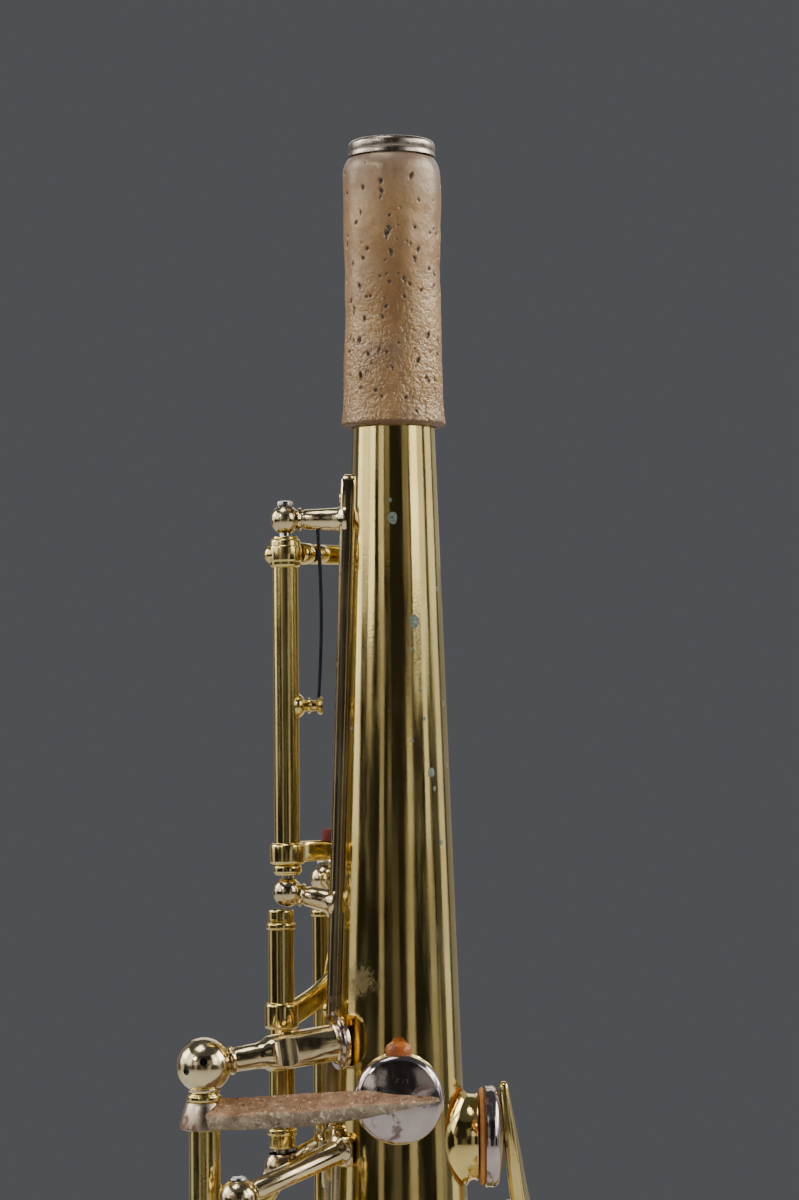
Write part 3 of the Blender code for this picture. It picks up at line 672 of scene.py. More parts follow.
def set_camera():
    camera = bpy.data.objects.new("camera", bpy.data.cameras.new("camera"))
    camera.data.sensor_fit = "VERTICAL"
    camera.data.sensor_height = 24.0
    camera.data.lens = LENS
    camera.data.clip_start = 0.01
    aim = (CAMERA_AIM - CAMERA_PLACE).to_track_quat("-Z", "Y").to_matrix().to_4x4()
    roll = Matrix.Rotation(math.radians(CAMERA_ROLL), 4, "Z")
    camera.matrix_world = Matrix.Translation(CAMERA_PLACE) @ aim @ roll
    bpy.context.collection.objects.link(camera)
    bpy.context.scene.camera = camera


def area_light(name, place, aim, width, height, strength, colour):
    """A soft light facing a point. Strength is how bright its face is, whatever its size."""
    lamp = bpy.data.lights.new(name, "AREA")
    lamp.shape = "RECTANGLE"
    lamp.size = width
    lamp.size_y = height
    lamp.energy = strength * math.pi * width * height
    lamp.color = colour
    item = bpy.data.objects.new(name, lamp)
    turn = (aim - place).to_track_quat("-Z", "Y").to_matrix().to_4x4()
    item.matrix_world = Matrix.Translation(place) @ turn
    item.visible_camera = False
    bpy.context.collection.objects.link(item)


def set_lights():
    for name, direction, degrees_wide, bottom, top, strength, colour in LIGHTS:
        width = 2.0 * LIGHT_DISTANCE * math.tan(math.radians(degrees_wide / 2.0))
        middle = UP * ((bottom + top) / 2.0)
        place = outward(direction) * LIGHT_DISTANCE + middle
        area_light(name, place, middle, width, top - bottom, strength, colour)
    for name, place, size, strength in SPARKS:
        area_light(name, Vector(place), SPARK_AIM, size, size, strength, PLAIN)
    area_light("overhead", TOP_LIGHT, TOP_LIGHT_AIM, TOP_LIGHT_SIZE, TOP_LIGHT_SIZE, TOP_LIGHT_STRENGTH,
               PLAIN)
    world = bpy.data.worlds.new("studio")
    world.use_nodes = True
    world.node_tree.nodes["Background"].inputs["Color"].default_value = WORLD_GREY
    bpy.context.scene.world = world


def set_dark_card():
    """A curved black card behind the lights on the player's side, so that the brass mirrors dark there."""
    shape = bmesh.new()
    rings = []
    low = UP * CARD_BOTTOM
    high = UP * CARD_TOP
    for step in range(CARD_STEPS + 1):
        direction = outward(-CARD_SPAN + 2 * CARD_SPAN * step / CARD_STEPS)
        near = direction * CARD_DISTANCE
        far = direction * (CARD_DISTANCE + CARD_THICKNESS)
        rings.append([corner / MM for corner in (near + low, near + high, far + high, far + low)])
    loft(shape, rings)
    card = bpy.data.objects.new("dark_card", to_mesh("dark_card", shape))
    surface = Surface("dark_card", (0.01, 0.01, 0.01), 0.0, 0.9)
    cloud = surface.spread(surface.noise(2.0, 3.0), 0.3, 0.7)
    surface.colour(surface.mix(cloud, (0.012, 0.011, 0.010), (0.006, 0.006, 0.007)))
    card.data.materials.append(surface.material)
    card.visible_camera = False
    bpy.context.collection.objects.link(card)


def set_floor():
    shape = bmesh.new()
    plug(shape, FLOOR_RADIUS / MM, -FLOOR_THICKNESS / MM, 0.0, Vector(), UP, 96)
    floor = bpy.data.objects.new("floor", to_mesh("floor", shape))
    floor.data.materials.append(floor_material())
    bpy.context.collection.objects.link(floor)


set_camera()
set_lights()
set_dark_card()
set_floor()


# ------------------------------------------------------------------ tube, bell, neck and cork

Hole = namedtuple("Hole", "station bore angle")
HOLES = {
    "upper_octave_key": Hole(66.0, 1.6, 180.0),
    "palm_f_key": Hole(125.0, 9.0, 180.0),
    "lower_octave_key": Hole(146.0, 1.6, 180.0),
    "palm_eb_key": Hole(151.0, 10.2, 0.0),
    "side_e_key": Hole(159.0, 12.2, 90.0),
    "palm_d_key": Hole(179.0, 11.0, -20.0),
    "c_vent_key": Hole(197.0, 6.0, 180.0),
    "b_key": Hole(213.0, 10.0, 180.0),
    "side_c_key": Hole(222.0, 10.0, 75.0),
    "bis_key": Hole(232.5, 11.0, 180.0),
    "side_bb_key": Hole(247.0, 12.0, 75.0),
    "a_key": Hole(254.0, 12.0, 180.0),
    "g_key": Hole(280.0, 14.0, 180.0),
    "g_sharp_key": Hole(304.0, 13.0, -130.0),
    "f_sharp_key": Hole(330.0, 16.0, 180.0),
    "f_key": Hole(358.0, 17.0, 180.0),
    "e_key": Hole(388.0, 18.0, 180.0),
    "d_key": Hole(418.0, 19.0, 180.0),
    "low_eb_key": Hole(447.0, 20.0, 85.0),
    "low_c_key": Hole(476.0, 22.0, 180.0),
    "low_c_sharp_key": Hole(505.0, 21.0, -155.0),
    "low_b_key": Hole(534.0, 24.0, -140.0),
    "low_bb_key": Hole(566.0, 25.0, -125.0),
}
TUBE_SEGMENTS = 288
TUBE_RINGS = 60
BELL_SEGMENTS = 144


def rim_level(hole):
    return outer_radius(hole.station) + CHIMNEY


def drawn_chimney(shape, hole):
    """A chimney drawn out of the tube's own wall: a soft root, a straight side and a rolled rim."""
    bore = hole.bore / 2
    wall = PIP_WALL if hole.bore < SMALL_BORE else CHIMNEY_WALL
    outside = bore + wall
    top = rim_level(hole)
    root = min(1.3, 0.6 + bore * 0.16)
    rows = [
        (outside + root, "skin", -0.12), (outside + root * 0.55, "skin", 0.06),
        (outside + root * 0.2, "skin", 0.36), (outside + 0.02, "skin", 0.85),
        (outside, "rim", -0.5), (outside + 0.14, "rim", -0.34), (outside + 0.16, "rim", -0.14),
        (outside, "rim", -0.02), (outside - wall * 0.4, "rim", 0.0), (bore + 0.06, "rim", -0.08),
        (bore, "rim", -0.25), (bore, "skin", -0.75), (bore + 0.25, "skin", -WALL - 0.02),
        (outside + root * 0.9, "skin", -WALL + 0.12)]
    segments = 56 if hole.bore > SMALL_BORE else 28
    rings = []
    for reach, level, rise in rows:
        ring = []
        for step in range(segments):
            turn = math.tau * step / segments
            across = reach * math.sin(turn)
            along = reach * math.cos(turn)
            radius = outer_radius(hole.station - along)
            height = math.sqrt(max(radius * radius - across * across, 0.0)) if level == "skin" else top
            place = outward(hole.angle) * (height + rise) + around(hole.angle) * across
            ring.append(place + UP * (HEIGHT - hole.station + along))
        rings.append(ring)
    loft(shape, rings, wrap=True)


def body_tube():
    shape = bmesh.new()
    top = BODY_TOP
    end = BODY_END
    profile = [(outer_radius(top) - WALL, HEIGHT - top), (outer_radius(top) - 0.2, HEIGHT - top)]
    for ring in range(TUBE_RINGS + 1):
        station = top + 0.25 + (end - top - 0.25) * ring / TUBE_RINGS
        profile.append((outer_radius(station), HEIGHT - station))
    profile.append((outer_radius(end) - WALL, HEIGHT - end))
    lathe(shape, profile, Vector(), UP, TUBE_SEGMENTS, ring=True)
    wall = piece("tube_wall", shape, tube_brass, "instrument", ["body_tube"])
    bores = bmesh.new()
    for hole in HOLES.values():
        plug(bores, hole.bore / 2 + 0.3, 0.0, rim_level(hole) + 4.0, polar(0, 0, hole.station),
             outward(hole.angle), 48)
    cut(wall, bores)
    chimneys = bmesh.new()
    for hole in HOLES.values():
        drawn_chimney(chimneys, hole)
    piece("tone_hole_chimneys", chimneys, tube_brass, "instrument")


def bell_outline(station):
    share = (station - BODY_END) / (BELL_END - BODY_END)
    start = outer_radius(BODY_END)
    straight = TAPER * (station - BODY_END)
    return start + straight + (BELL_RADIUS - start - TAPER * (BELL_END - BODY_END)) * share ** 2.4


def bell():
    start = BODY_END + 0.3
    steps = 40
    shares = [math.sin(math.pi / 2 * step / steps) for step in range(steps + 1)]
    stations = [start + (BELL_END - start) * share for share in shares]
    outside = [(bell_outline(station), HEIGHT - station) for station in stations]
    inside = [(radius - WALL, height) for radius, height in reversed(outside)]
    turned("bell_flare", outside + inside, Vector(), UP, BELL_SEGMENTS, tube_brass, "instrument",
           ["bell"], ring=True)


def bell_rim():
    outer = RIM_RADIUS
    inner = outer - 2.8
    profile = [(inner, 0.7)] + arc((inner + 0.5, 0.5), 0.5, 190, 270, 4)
    profile += arc((outer - 0.9, 0.9), 0.9, -90, 20, 7)
    profile += [(outer - 0.32, RIM_HEIGHT - 1.1), (outer - 0.6, RIM_HEIGHT - 0.9)]
    profile += arc((outer - 1.1, RIM_HEIGHT - 0.6), 0.6, 0, 120, 5) + [(inner + 0.2, RIM_HEIGHT - 0.1)]
    turned("bell_rim", profile, Vector(), UP, BELL_SEGMENTS, key_brass, "instrument",
           ["bell_rim_ring"], ring=True)


def body_bell_joint():
    top = BODY_END - 3.4
    bottom = BODY_END + 3.2
    near = outer_radius(top)
    rows = [
        (1.3, 0.0), (1.55, 0.15), (1.6, 0.5), (1.4, 0.8), (1.7, 1.0), (2.2, 1.4), (2.42, 2.0), (2.5, 2.8),
        (2.5, 3.6), (2.42, 4.5), (2.2, 5.2), (1.75, 5.5), (1.45, 5.7), (1.65, 5.95), (1.65, 6.35),
        (1.4, 6.6), (0.7, 6.6), (0.5, 0.0)]
    shape = bmesh.new()
    profile = [(near + rise, HEIGHT - top - drop) for rise, drop in rows]
    lathe(shape, profile, Vector(), UP, BELL_SEGMENTS, ring=True)
    lathe(shape, [(0.0, 0.0), (1.5, 0.0), (1.5, 0.35), (1.2, 0.6), (0.0, 0.65)],
          polar(0, near + 2.3, (top + bottom) / 2), outward(0), 28)
    piece("body_bell_joint_ring", shape, key_brass, "instrument", ["body_bell_ring"])


def neck_tip():
    tip = TIP_RADIUS
    profile = [(4.6, 2.6), (4.6, 0.5)] + arc((5.1, 0.5), 0.5, 180, 270, 4)
    profile += arc((tip - 0.9, 0.9), 0.9, -90, 0, 6)
    profile += [(tip, 1.7), (tip - 0.12, 1.85), (tip, 2.0), (tip, 2.6)]
    turned("neck_tip_sleeve", [(radius, HEIGHT - drop) for radius, drop in profile], Vector(), UP, 96, nickel,
           "instrument", ["neck_tip_ring"], ring=True)


PORE_COUNT = 300
CORK_SEED = 11
CORK_COLUMNS = 400
CORK_ROWS = 330
CORK_TOP = BODY_TOP + 0.05
NECK_CLEARANCE = 0.12
Pore = namedtuple("Pore", "turn station wide long depth slant")


def cork_pores():
    """Small dark pores, some round and some long, thicker low down and all round the cork."""
    draw = random.Random(CORK_SEED)
    pores = []
    for _ in range(PORE_COUNT):
        station = 4.4 + (CORK_END - 5.8) * draw.random() ** 0.8
        size = draw.random()
        wide = 0.12 + 0.17 * size
        pores.append(Pore(
            draw.random() * math.tau, station, wide, wide * (1.0 + 1.6 * draw.random() ** 3.0),
            0.12 + 0.2 * size, draw.uniform(-0.6, 0.6)))
    return pores


def clamp(value):
    return min(1.0, max(0.0, value))


def cork_outline(station, share):
    """The sleeve's outline: drawn in at the top, bulging, flared at the foot and turned under there."""
    radius = CORK_RADIUS - 0.16
    radius -= 0.85 * max(0.0, 1.0 - (station - CORK_TOP) / 2.6) ** 2.2
    radius += 0.1 * math.sin(share * 9.0) - 0.14 * math.sin(share * 4.2)
    radius += 0.42 * max(0.0, (station - CORK_END + 5.0) / 5.0) ** 2.0
    radius -= 0.55 * max(0.0, (station - CORK_END + 0.7) / 0.7) ** 2.4
    return radius


def cork_relief(turn, station, share):
    """How far the skin stands out at a place: a slow swell, less its creases, plus its fine grain."""
    place = Vector((math.sin(turn) * 8.0, -math.cos(turn) * 8.0, station))
    swell = noise.noise(place * 0.16) * 0.16 + noise.noise(place * 0.55) * 0.05
    warp = place + UP * (1.2 * math.sin(turn * 3.0)) + noise.noise_vector(place * 0.6) * 1.1
    crease = abs(noise.noise(Vector((warp.x * 1.1, warp.y * 1.1, warp.z * 1.7 + warp.x * 0.7))))
    crumpled = 0.06 + 0.94 * clamp((share - 0.4) / 0.35)
    creased = 0.13 * max(0.0, 0.16 - crease) / 0.16 * crumpled
    fine = (noise.noise(place * 3.4) * 0.05 + noise.noise(place * 1.7) * 0.07) * crumpled
    return swell - creased + fine


def pore_depth(pores, turn, station):
    """How deep the deepest pore is at a place."""
    depth = 0.0
    for pore in pores:
        gap = (turn - pore.turn + math.pi) % math.tau - math.pi
        along = station - pore.station
        across = gap * CORK_RADIUS - along * pore.slant
        away = math.hypot(across / pore.wide, along / pore.long)
        if away < 1.5:
            depth = max(depth, min(1.0, 1.55 - away) * pore.depth)
    return depth


def neck_cork():
    """The cork sleeve: bulging, flared at its foot, creased, and pierced with pores."""
    noise.seed_set(CORK_SEED)
    pores = cork_pores()
    rings = []
    shades = []
    for row in range(CORK_ROWS + 1):
        share = row / CORK_ROWS
        station = CORK_TOP + (CORK_END - CORK_TOP) * share
        base = cork_outline(station, share)
        near = [pore for pore in pores if abs(pore.station - station) < 1.5]
        ring = []
        for column in range(CORK_COLUMNS):
            turn = math.tau * column / CORK_COLUMNS
            depth = pore_depth(near, turn, station)
            # The pore's darkness is set from its depth: partly its own dark colour, partly painted shade in
            # the hole.
            shades.append(clamp(depth * 7.0 - 0.25))
            ring.append(polar(math.degrees(turn), base + cork_relief(turn, station, share) - depth, station))
        rings.append(ring)
    for station in (CORK_END, CORK_TOP):
        level = outer_radius(station) + NECK_CLEARANCE
        rings.append([polar(360.0 * column / CORK_COLUMNS, level, station) for column in range(CORK_COLUMNS)])
    shades += [0.0] * (2 * CORK_COLUMNS)
    shape = bmesh.new()
    loft(shape, rings, wrap=True)
    cork = piece("cork_sleeve", shape, cork_skin, "instrument", ["neck_cork"])
    pore, greying, foot = (
        cork.data.attributes.new(name, "FLOAT", "POINT") for name in ("pore", "greying", "foot"))
    pore.data.foreach_set("value", shades)
    for index, vertex in enumerate(cork.data.vertices):
        station = HEIGHT - vertex.co.z / MM
        # Greying: strongest at the top, fading over 9 mm, plus patches from noise.
        fade = max(0.0, 1.0 - (station - CORK_TOP) / 9.0)
        stain = noise.noise(vertex.co / MM * 0.22 + Vector((3.0, 0.0, 1.0)))
        greying.data[index].value = clamp(0.75 * fade ** 1.3 + 0.55 * max(0.0, stain))
        foot.data[index].value = clamp((station - CORK_END + 0.9) / 0.5)


SPECK_CORNERS = 18


def lacquer_specks():
    """Spots of green corrosion where the lacquer has lifted, most on the player's side of the upper tube."""
    places = [
        (-2, 60.8, 0.75), (-5, 58.0, 0.26), (24, 77.2, 0.85), (19, 81.5, 0.25), (62, 72.0, 0.4),
        (67, 90.2, 0.35), (40, 101.0, 0.65), (44, 103.5, 0.3), (52, 112.0, 0.35), (33, 92.5, 0.25),
        (30, 88.0, 0.22), (-58, 94.0, 0.25), (18, 96.0, 0.2), (70, 100.0, 0.35), (120, 82.0, 0.5),
        (-160, 96.0, 0.6)]
    shape = bmesh.new()
    for index, (angle, station, size) in enumerate(places):
        skin = outer_radius(station)
        rings = []
        for share, rise in ((1.15, -0.05), (1.0, 0.03), (0.6, 0.06), (0.15, 0.07), (0.1, -0.06)):
            ring = []
            for step in range(SPECK_CORNERS):
                turn = math.tau * step / SPECK_CORNERS
                c, s = math.cos(turn), math.sin(turn)
                jag = 1.0 + 0.32 * noise.noise(Vector((c * 1.3, s * 1.3, index * 2.7)))
                across = math.degrees(size * share * jag * c / skin)
                lower = station + size * share * jag * s * 1.15
                ring.append(polar(angle + across, outer_radius(lower) + rise, lower))
            rings.append(ring)
        loft(shape, rings)
    piece("lacquer_specks", shape, verdigris, "instrument")


body_tube()
bell()
bell_rim()
body_bell_joint()
neck_tip()
neck_cork()
lacquer_specks()


# ------------------------------------------------------------------ ribs, posts, rods and springs

Rib = namedtuple("Rib", "angle top bottom width posts")
Post = namedtuple("Post", "key station")
RIBS = {
    "octave_rib": Rib(-90.0, 54.0, 166.5, 4.0, [
        Post("upper_octave_key", 60.6), Post("upper_octave_key", 120.0), Post("palm_f_key", 163.5)]),
    "palm_rib": Rib(-66.0, 157.0, 216.5, 3.6, [
        Post("palm_d_key", 165.0), Post("palm_eb_key", 191.0), Post("palm_d_key", 214.0)]),
    "thumb_lever_rib": Rib(-45.0, 218.5, 252.0, 3.6, [
        Post("octave_thumb_lever", 221.0), Post("octave_thumb_lever", 249.0)]),
    "lower_octave_rib": Rib(-136.0, 116.0, 206.0, 3.6, [
        Post("lower_octave_key", 119.0), Post("lower_octave_key", 203.0)]),
    "upper_stack_rib": Rib(136.0, 171.0, 305.0, 4.0, [
        Post("side_e_key", 173.5), Post("g_key", 189.0), Post("g_key", 296.0), Post("side_e_key", 302.0)]),
    "side_key_rib": Rib(24.0, 206.0, 337.0, 4.0, [
        Post("side_c_key", 210.0), Post("side_bb_key", 235.0), Post("side_c_key", 329.0),
        Post("side_bb_key", 333.5)]),
    "g_sharp_rib": Rib(-88.0, 290.5, 320.0, 4.0, [
        Post("g_sharp_key", 293.5), Post("g_sharp_key", 317.0)]),
    "lower_stack_rib": Rib(133.0, 312.0, 497.0, 4.6, [
        Post("f_key", 316.0), Post("low_eb_key", 430.0), Post("f_key", 437.0), Post("low_c_key", 451.0),
        Post("low_eb_key", 463.7), Post("low_c_key", 493.0)]),
    "bell_key_rib": Rib(-82.0, 321.0, 584.9, 4.6, [
        Post("low_c_sharp_key", 323.5), Post("low_b_key", 337.5), Post("low_bb_key", 351.5),
        Post("low_c_sharp_key", 519.2), Post("low_b_key", 551.5), Post("low_bb_key", 582.8)]),
}
RODS = {
    "octave_rod": ("upper_octave_key", 57.8, 121.4),
    "palm_f_rod": ("palm_f_key", 123.0, 166.4),
    "palm_eb_rod": ("palm_eb_key", 142.6, 194.0),
    "palm_d_rod": ("palm_d_key", 162.0, 217.0),
    "thumb_lever_rod": ("octave_thumb_lever", 218.0, 252.0),
    "lower_octave_rod": ("lower_octave_key", 116.0, 206.0),
    "upper_stack_rod": ("g_key", 186.0, 299.0),
    "g_sharp_rod": ("g_sharp_key", 290.5, 320.0),
    "lower_stack_rod": ("f_key", 313.0, 440.0),
    "low_eb_rod": ("low_eb_key", 427.0, 466.5),
    "low_c_rod": ("low_c_key", 448.0, 496.0),
}
RIB_END = 0.6
RIB_SCREW_INSET = 3.2
POST_ARM_STEP = 12.0
POST_ARM_OVERRUN = 2.1
PALM_BALL = 4.3
BIG_BALL = 2.95
# How much further down the tube than its ball a leaning post's foot stands, and the larger balls.
LEANS = {("upper_octave_key", 120.0): 1.6, ("palm_f_key", 163.5): -3.5, ("palm_d_key", 165.0): -5.0}
BALLS = {("palm_f_key", 163.5): BIG_BALL, ("palm_d_key", 165.0): BIG_BALL}


def post(shape, foot, head, ball_radius=POST_BALL):
    """A turned post: a flared foot, a tapering stem with a bead under the head, and a ball."""
    axis = (head - foot).normalized()
    reach = (head - foot).length
    lathe(shape, [
        (0.0, -0.4), (2.62, -0.4), (2.66, 0.05), (2.5, 0.3), (2.12, 0.62), (1.86, 1.1),
        (1.72, 1.1 + (reach - 4.2) * 0.5), (1.62, reach - 3.2), (1.42, reach - 2.95), (1.42, reach - 2.75),
        (1.8, reach - 2.6), (1.92, reach - 2.35), (1.8, reach - 2.1), (1.5, reach - 1.9),
        (1.3, reach - 1.2), (0.0, reach - 0.9)], foot, axis, 40)
    ball(shape, head, ball_radius, axis, 44)


def post_on_rib(shape, rib, key, station):
    """A post under its key's hinge line, on an arm round the tube where the rib stands to one side."""
    angle = line_angle(key)
    lean = LEANS.get((key, station), 0.0)
    foot_station = station + lean
    middle = outer_radius(foot_station) + RIB_LIFT + RIB_THICKNESS / 2
    foot = polar(angle, middle + 0.1 * abs(lean), foot_station)
    if abs(angle - rib.angle) > 0.5:
        over = math.copysign(math.degrees(POST_ARM_OVERRUN / foot.xy.length), angle - rib.angle)
        swing = angle + over - rib.angle
        steps = max(2, round(abs(swing) / POST_ARM_STEP))
        turns = [rib.angle + swing * step / steps for step in range(steps + 1)]
        path = [polar(turn, middle + 0.1, foot_station) for turn in turns]
        sweep(shape, path, (4.6, 4.6), (1.2, 1.2), UP, 6.0)
    post(shape, foot, on_line(key, station), BALLS.get((key, station), POST_BALL))


def rib_with_posts(name):
    """A soldered rib with its screws and posts. The ball under the palm F hinge is hollowed for its tube."""
    rib = RIBS[name]
    shape = bmesh.new()
    lift = (RIB_LIFT + RIB_THICKNESS - RIB_SINK) / 2
    thick = RIB_LIFT + RIB_THICKNESS + RIB_SINK
    steps = max(2, int((rib.bottom - rib.top) / 40))
    straight = rib.bottom - rib.top - 2 * RIB_END
    stations = [rib.top + RIB_END + straight * step / steps for step in range(steps + 1)]
    path = [polar(rib.angle, outer_radius(station) + lift, station) for station in stations]
    sweep(shape, path, (rib.width, rib.width), (thick, thick), around(rib.angle), 7.0)
    for station in (rib.top + RIB_SCREW_INSET, rib.bottom - RIB_SCREW_INSET):
        face = polar(rib.angle, outer_radius(station) + RIB_LIFT + RIB_THICKNESS, station)
        lathe(shape, [(0.0, -0.2), (0.75, -0.2), (0.8, 0.05), (0.7, 0.16), (0.0, 0.2)],
              face, outward(rib.angle), 20)
    for key, station in rib.posts:
        post_on_rib(shape, rib, key, station)
    posts = piece(name + "_posts", shape, post_brass, "instrument", [name])
    if name == "octave_rib":
        socket = bmesh.new()
        plug(socket, TUBE_RADIUS + 0.05, 0.0, 4.0, on_line("palm_f_key", 162.7), UP, 40)
        cut(posts, socket)


def palm_eb_post():
    """The palm E flat key's long upper post: a saddled barrel on a round flange, with a big ball."""
    head = on_line("palm_eb_key", 145.5)
    foot = polar(-55.0, outer_radius(143.0) + RIB_LIFT + 0.9, 143.0)
    axis = (head - foot).normalized()
    reach = (head - foot).length
    shape = bmesh.new()
    lathe(shape, [
        (0.0, -0.5), (4.05, -0.5), (4.2, -0.1), (4.2, 0.35), (3.95, 0.75), (3.3, 1.0), (2.95, 1.3),
        (2.9, 1.9), (2.86, reach * 0.5), (2.7, reach * 0.54), (2.2, reach * 0.57), (2.0, reach * 0.62),
        (1.9, reach - 5.2), (1.72, reach - 5.0), (1.72, reach - 4.8), (2.15, reach - 4.65),
        (2.3, reach - 4.35), (2.15, reach - 4.05), (1.8, reach - 3.9), (2.25, reach - 3.6),
        (1.6, reach - 3.0), (0.0, reach - 2.6)], foot, axis, 48)
    ball(shape, head, PALM_BALL, axis, 56)
    lathe(shape, [(1.3, -0.4), (2.3, -0.4), (2.5, -0.1), (2.5, 0.25), (2.3, 0.55), (1.3, 0.9)],
          on_line("palm_eb_key", 149.25), UP, 40, ring=True)
    barrel = piece("palm_eb_post_turned", shape, post_brass, "instrument", ["palm_eb_post"])
    notch = bmesh.new()
    front = (outward(0) + axis * axis.y).normalized()
    centre = foot + axis * (reach * 0.42) + front * 6.3
    plug(notch, 4.4, -4.0, 4.0, centre, axis.cross(front).normalized(), 64)
    cut(barrel, notch)
    holes = bmesh.new()
    # Near-black blued-steel discs at the bottom of the ball's three holes: painted shade inside the holes.
    hole_shade_discs = bmesh.new()
    for toward in ((0.05, -1.0, 0.24), (-0.58, -0.8, -0.12), (-0.3, 0.1, 1.0)):
        direction = Vector(toward).normalized()
        plug(holes, 0.6, 0.0, 2.0, head + direction * 3.2, direction, 20)
        plug(hole_shade_discs, 0.58, 0.0, 0.5, head + direction * 3.3, direction, 20)
    cut(barrel, holes)
    piece("palm_eb_post_pits", hole_shade_discs, blued, "instrument")
    rim = [(3.4, 0.2), (4.25, 0.15), (4.42, 0.35), (4.42, 0.75), (4.25, 1.0), (3.4, 1.15)]
    turned("palm_eb_post_flange", rim, foot, axis, 56, silver, "instrument", ring=True)


def rods():
    for name, (key, top, bottom) in RODS.items():
        reach = bottom - top
        profile = [
            (0.0, 0.25), (ROD_RADIUS - 0.25, 0.0), (ROD_RADIUS, 0.2), (ROD_RADIUS, reach - 0.2),
            (ROD_RADIUS - 0.15, reach), (0.0, reach + 0.02)]
        turned(name + "_steel", profile, on_line(key, bottom), UP, 24, steel, "instrument",
               [name])


SCREW_REACH = 2.7
ON_PIVOT_SCREWS = ("side_e_key", "side_c_key", "side_bb_key", "low_c_sharp_key", "low_b_key", "low_bb_key")


def pivot_screws():
    """Slotted screw heads in the ends of the posts that hold the rods and pivot points."""
    ends = [(key, top, 1.0) for key, top, bottom in RODS.values() if key not in ("palm_eb_key", "palm_f_key")]
    ends += [(key, bottom, -1.0) for key, top, bottom in RODS.values()]
    for key in ON_PIVOT_SCREWS:
        stations = [station for rib in RIBS.values() for owner, station in rib.posts if owner == key]
        ends += [(key, min(stations) - SCREW_REACH, 1.0), (key, max(stations) + SCREW_REACH, -1.0)]
    heads = bmesh.new()
    slots = bmesh.new()
    for key, station, sense in ends:
        centre = on_line(key, station)
        axis = UP * sense
        lathe(heads, [
            (0.0, -0.8), (1.35, -0.8), (1.42, -0.2), (1.32, 0.05), (0.9, 0.2), (0.0, 0.24)], centre, axis, 28)
        plug(slots, 0.2, -1.8, 1.8, centre + axis * 0.2, around(30), 12)
    screws = piece("pivot_screws", heads, steel, "instrument")
    cut(screws, slots)


def cradle(shape, key, station, reach_out):
    """The little cradle on a hinge tube, on its side towards the body, that a needle spring bears on."""
    inward = -PIVOTS[key].xy.to_3d().normalized()
    start = on_line(key, station) + inward * (TUBE_RADIUS - 0.2)
    lathe(shape, [
        (0.0, -0.7), (1.5, -0.7), (1.85, -0.2), (1.85, 0.3), (1.5, 0.8), (0.95, 1.1), (0.85, 1.3),
        (1.25, 1.6), (1.3, 1.9), (0.9, 2.2), (0.8, reach_out - 1.0), (1.3, reach_out - 0.75),
        (1.55, reach_out - 0.3), (1.3, reach_out), (0.0, reach_out + 0.1)], start, inward, 28)


SPRING_STEPS = 6
SPRING_BOW = 0.55
Spring = namedtuple("Spring", "start end angle near")
SPRINGS = {
    "upper_octave_key": Spring(61.0, 90.0, -90.0, 12.35),
    "lower_octave_key": Spring(119.5, 140.0, -141.7, 14.4),
    "palm_eb_key": Spring(190.5, 165.0, -65.0, 26.0),
    "palm_d_key": Spring(213.5, 190.0, -52.2, 24.0),
    "side_e_key": Spring(301.5, 262.0, 114.0, 17.4),
    "side_c_key": Spring(328.5, 290.0, 38.5, 17.4),
    "side_bb_key": Spring(235.5, 268.0, 25.0, 17.5),
    "g_sharp_key": Spring(317.0, 304.5, -96.4, 19.2),
    "low_eb_key": Spring(463.5, 452.0, 118.0, 24.4),
    "low_c_sharp_key": Spring(518.5, 470.0, -124.0, 26.0),
    "low_b_key": Spring(551.0, 498.0, -108.0, 27.5),
    "low_bb_key": Spring(582.0, 526.0, -93.0, 28.6),
}


def needle_springs():
    shape = bmesh.new()
    for spring in SPRINGS.values():
        points = []
        for step in range(SPRING_STEPS + 1):
            share = step / SPRING_STEPS
            level = spring.near - SPRING_BOW * math.sin(math.pi * share)
            points.append(polar(spring.angle, level, spring.start + (spring.end - spring.start) * share))
        sweep(shape, points, (0.62, 0.5), (0.62, 0.5), around(spring.angle), 2.0)
    piece("needle_springs", shape, blued, "instrument")


for rib_name in RIBS:
    rib_with_posts(rib_name)
palm_eb_post()
rods()
pivot_screws()
needle_springs()


# ------------------------------------------------------------------ keys

def hinge_tube(shape, key, top, radius=TUBE_RADIUS):
    """The key's hinge tube, with a turned lip and groove near each end."""
    bottom = HEIGHT - PIVOTS[key].z
    reach = bottom - top
    groove = radius - 0.14
    end = [
        (1.12, 0.0), (radius - 0.15, 0.0), (radius - 0.02, 0.14), (radius, 0.35), (radius, 1.5),
        (groove, 1.6), (groove, 1.72), (radius, 1.82)]
    profile = end + [(across, reach - height) for across, height in reversed(end)]
    lathe(shape, profile, on_line(key, bottom), UP, 44, ring=True)


def collar(shape, key, station, radius, height):
    """A bead-shaped collar round a hinge tube, centred on a station."""
    half = height / 2
    edge = min(0.55, half * 0.6)
    profile = [(TUBE_RADIUS - 0.15, -half)]
    profile += arc((radius - edge, -half + edge), edge, -85, 0, 5)
    profile += arc((radius - edge, half - edge), edge, 0, 85, 5)
    profile += [(TUBE_RADIUS - 0.15, half)]
    lathe(shape, profile, on_line(key, station), UP, 44, ring=True)


CUP_LIP = 0.85
SMALL_PAD_BORE = 8.0
TOUCH_DISH = 0.22


def cup_radius(hole):
    return hole.bore / 2 + CUP_OVERLAP


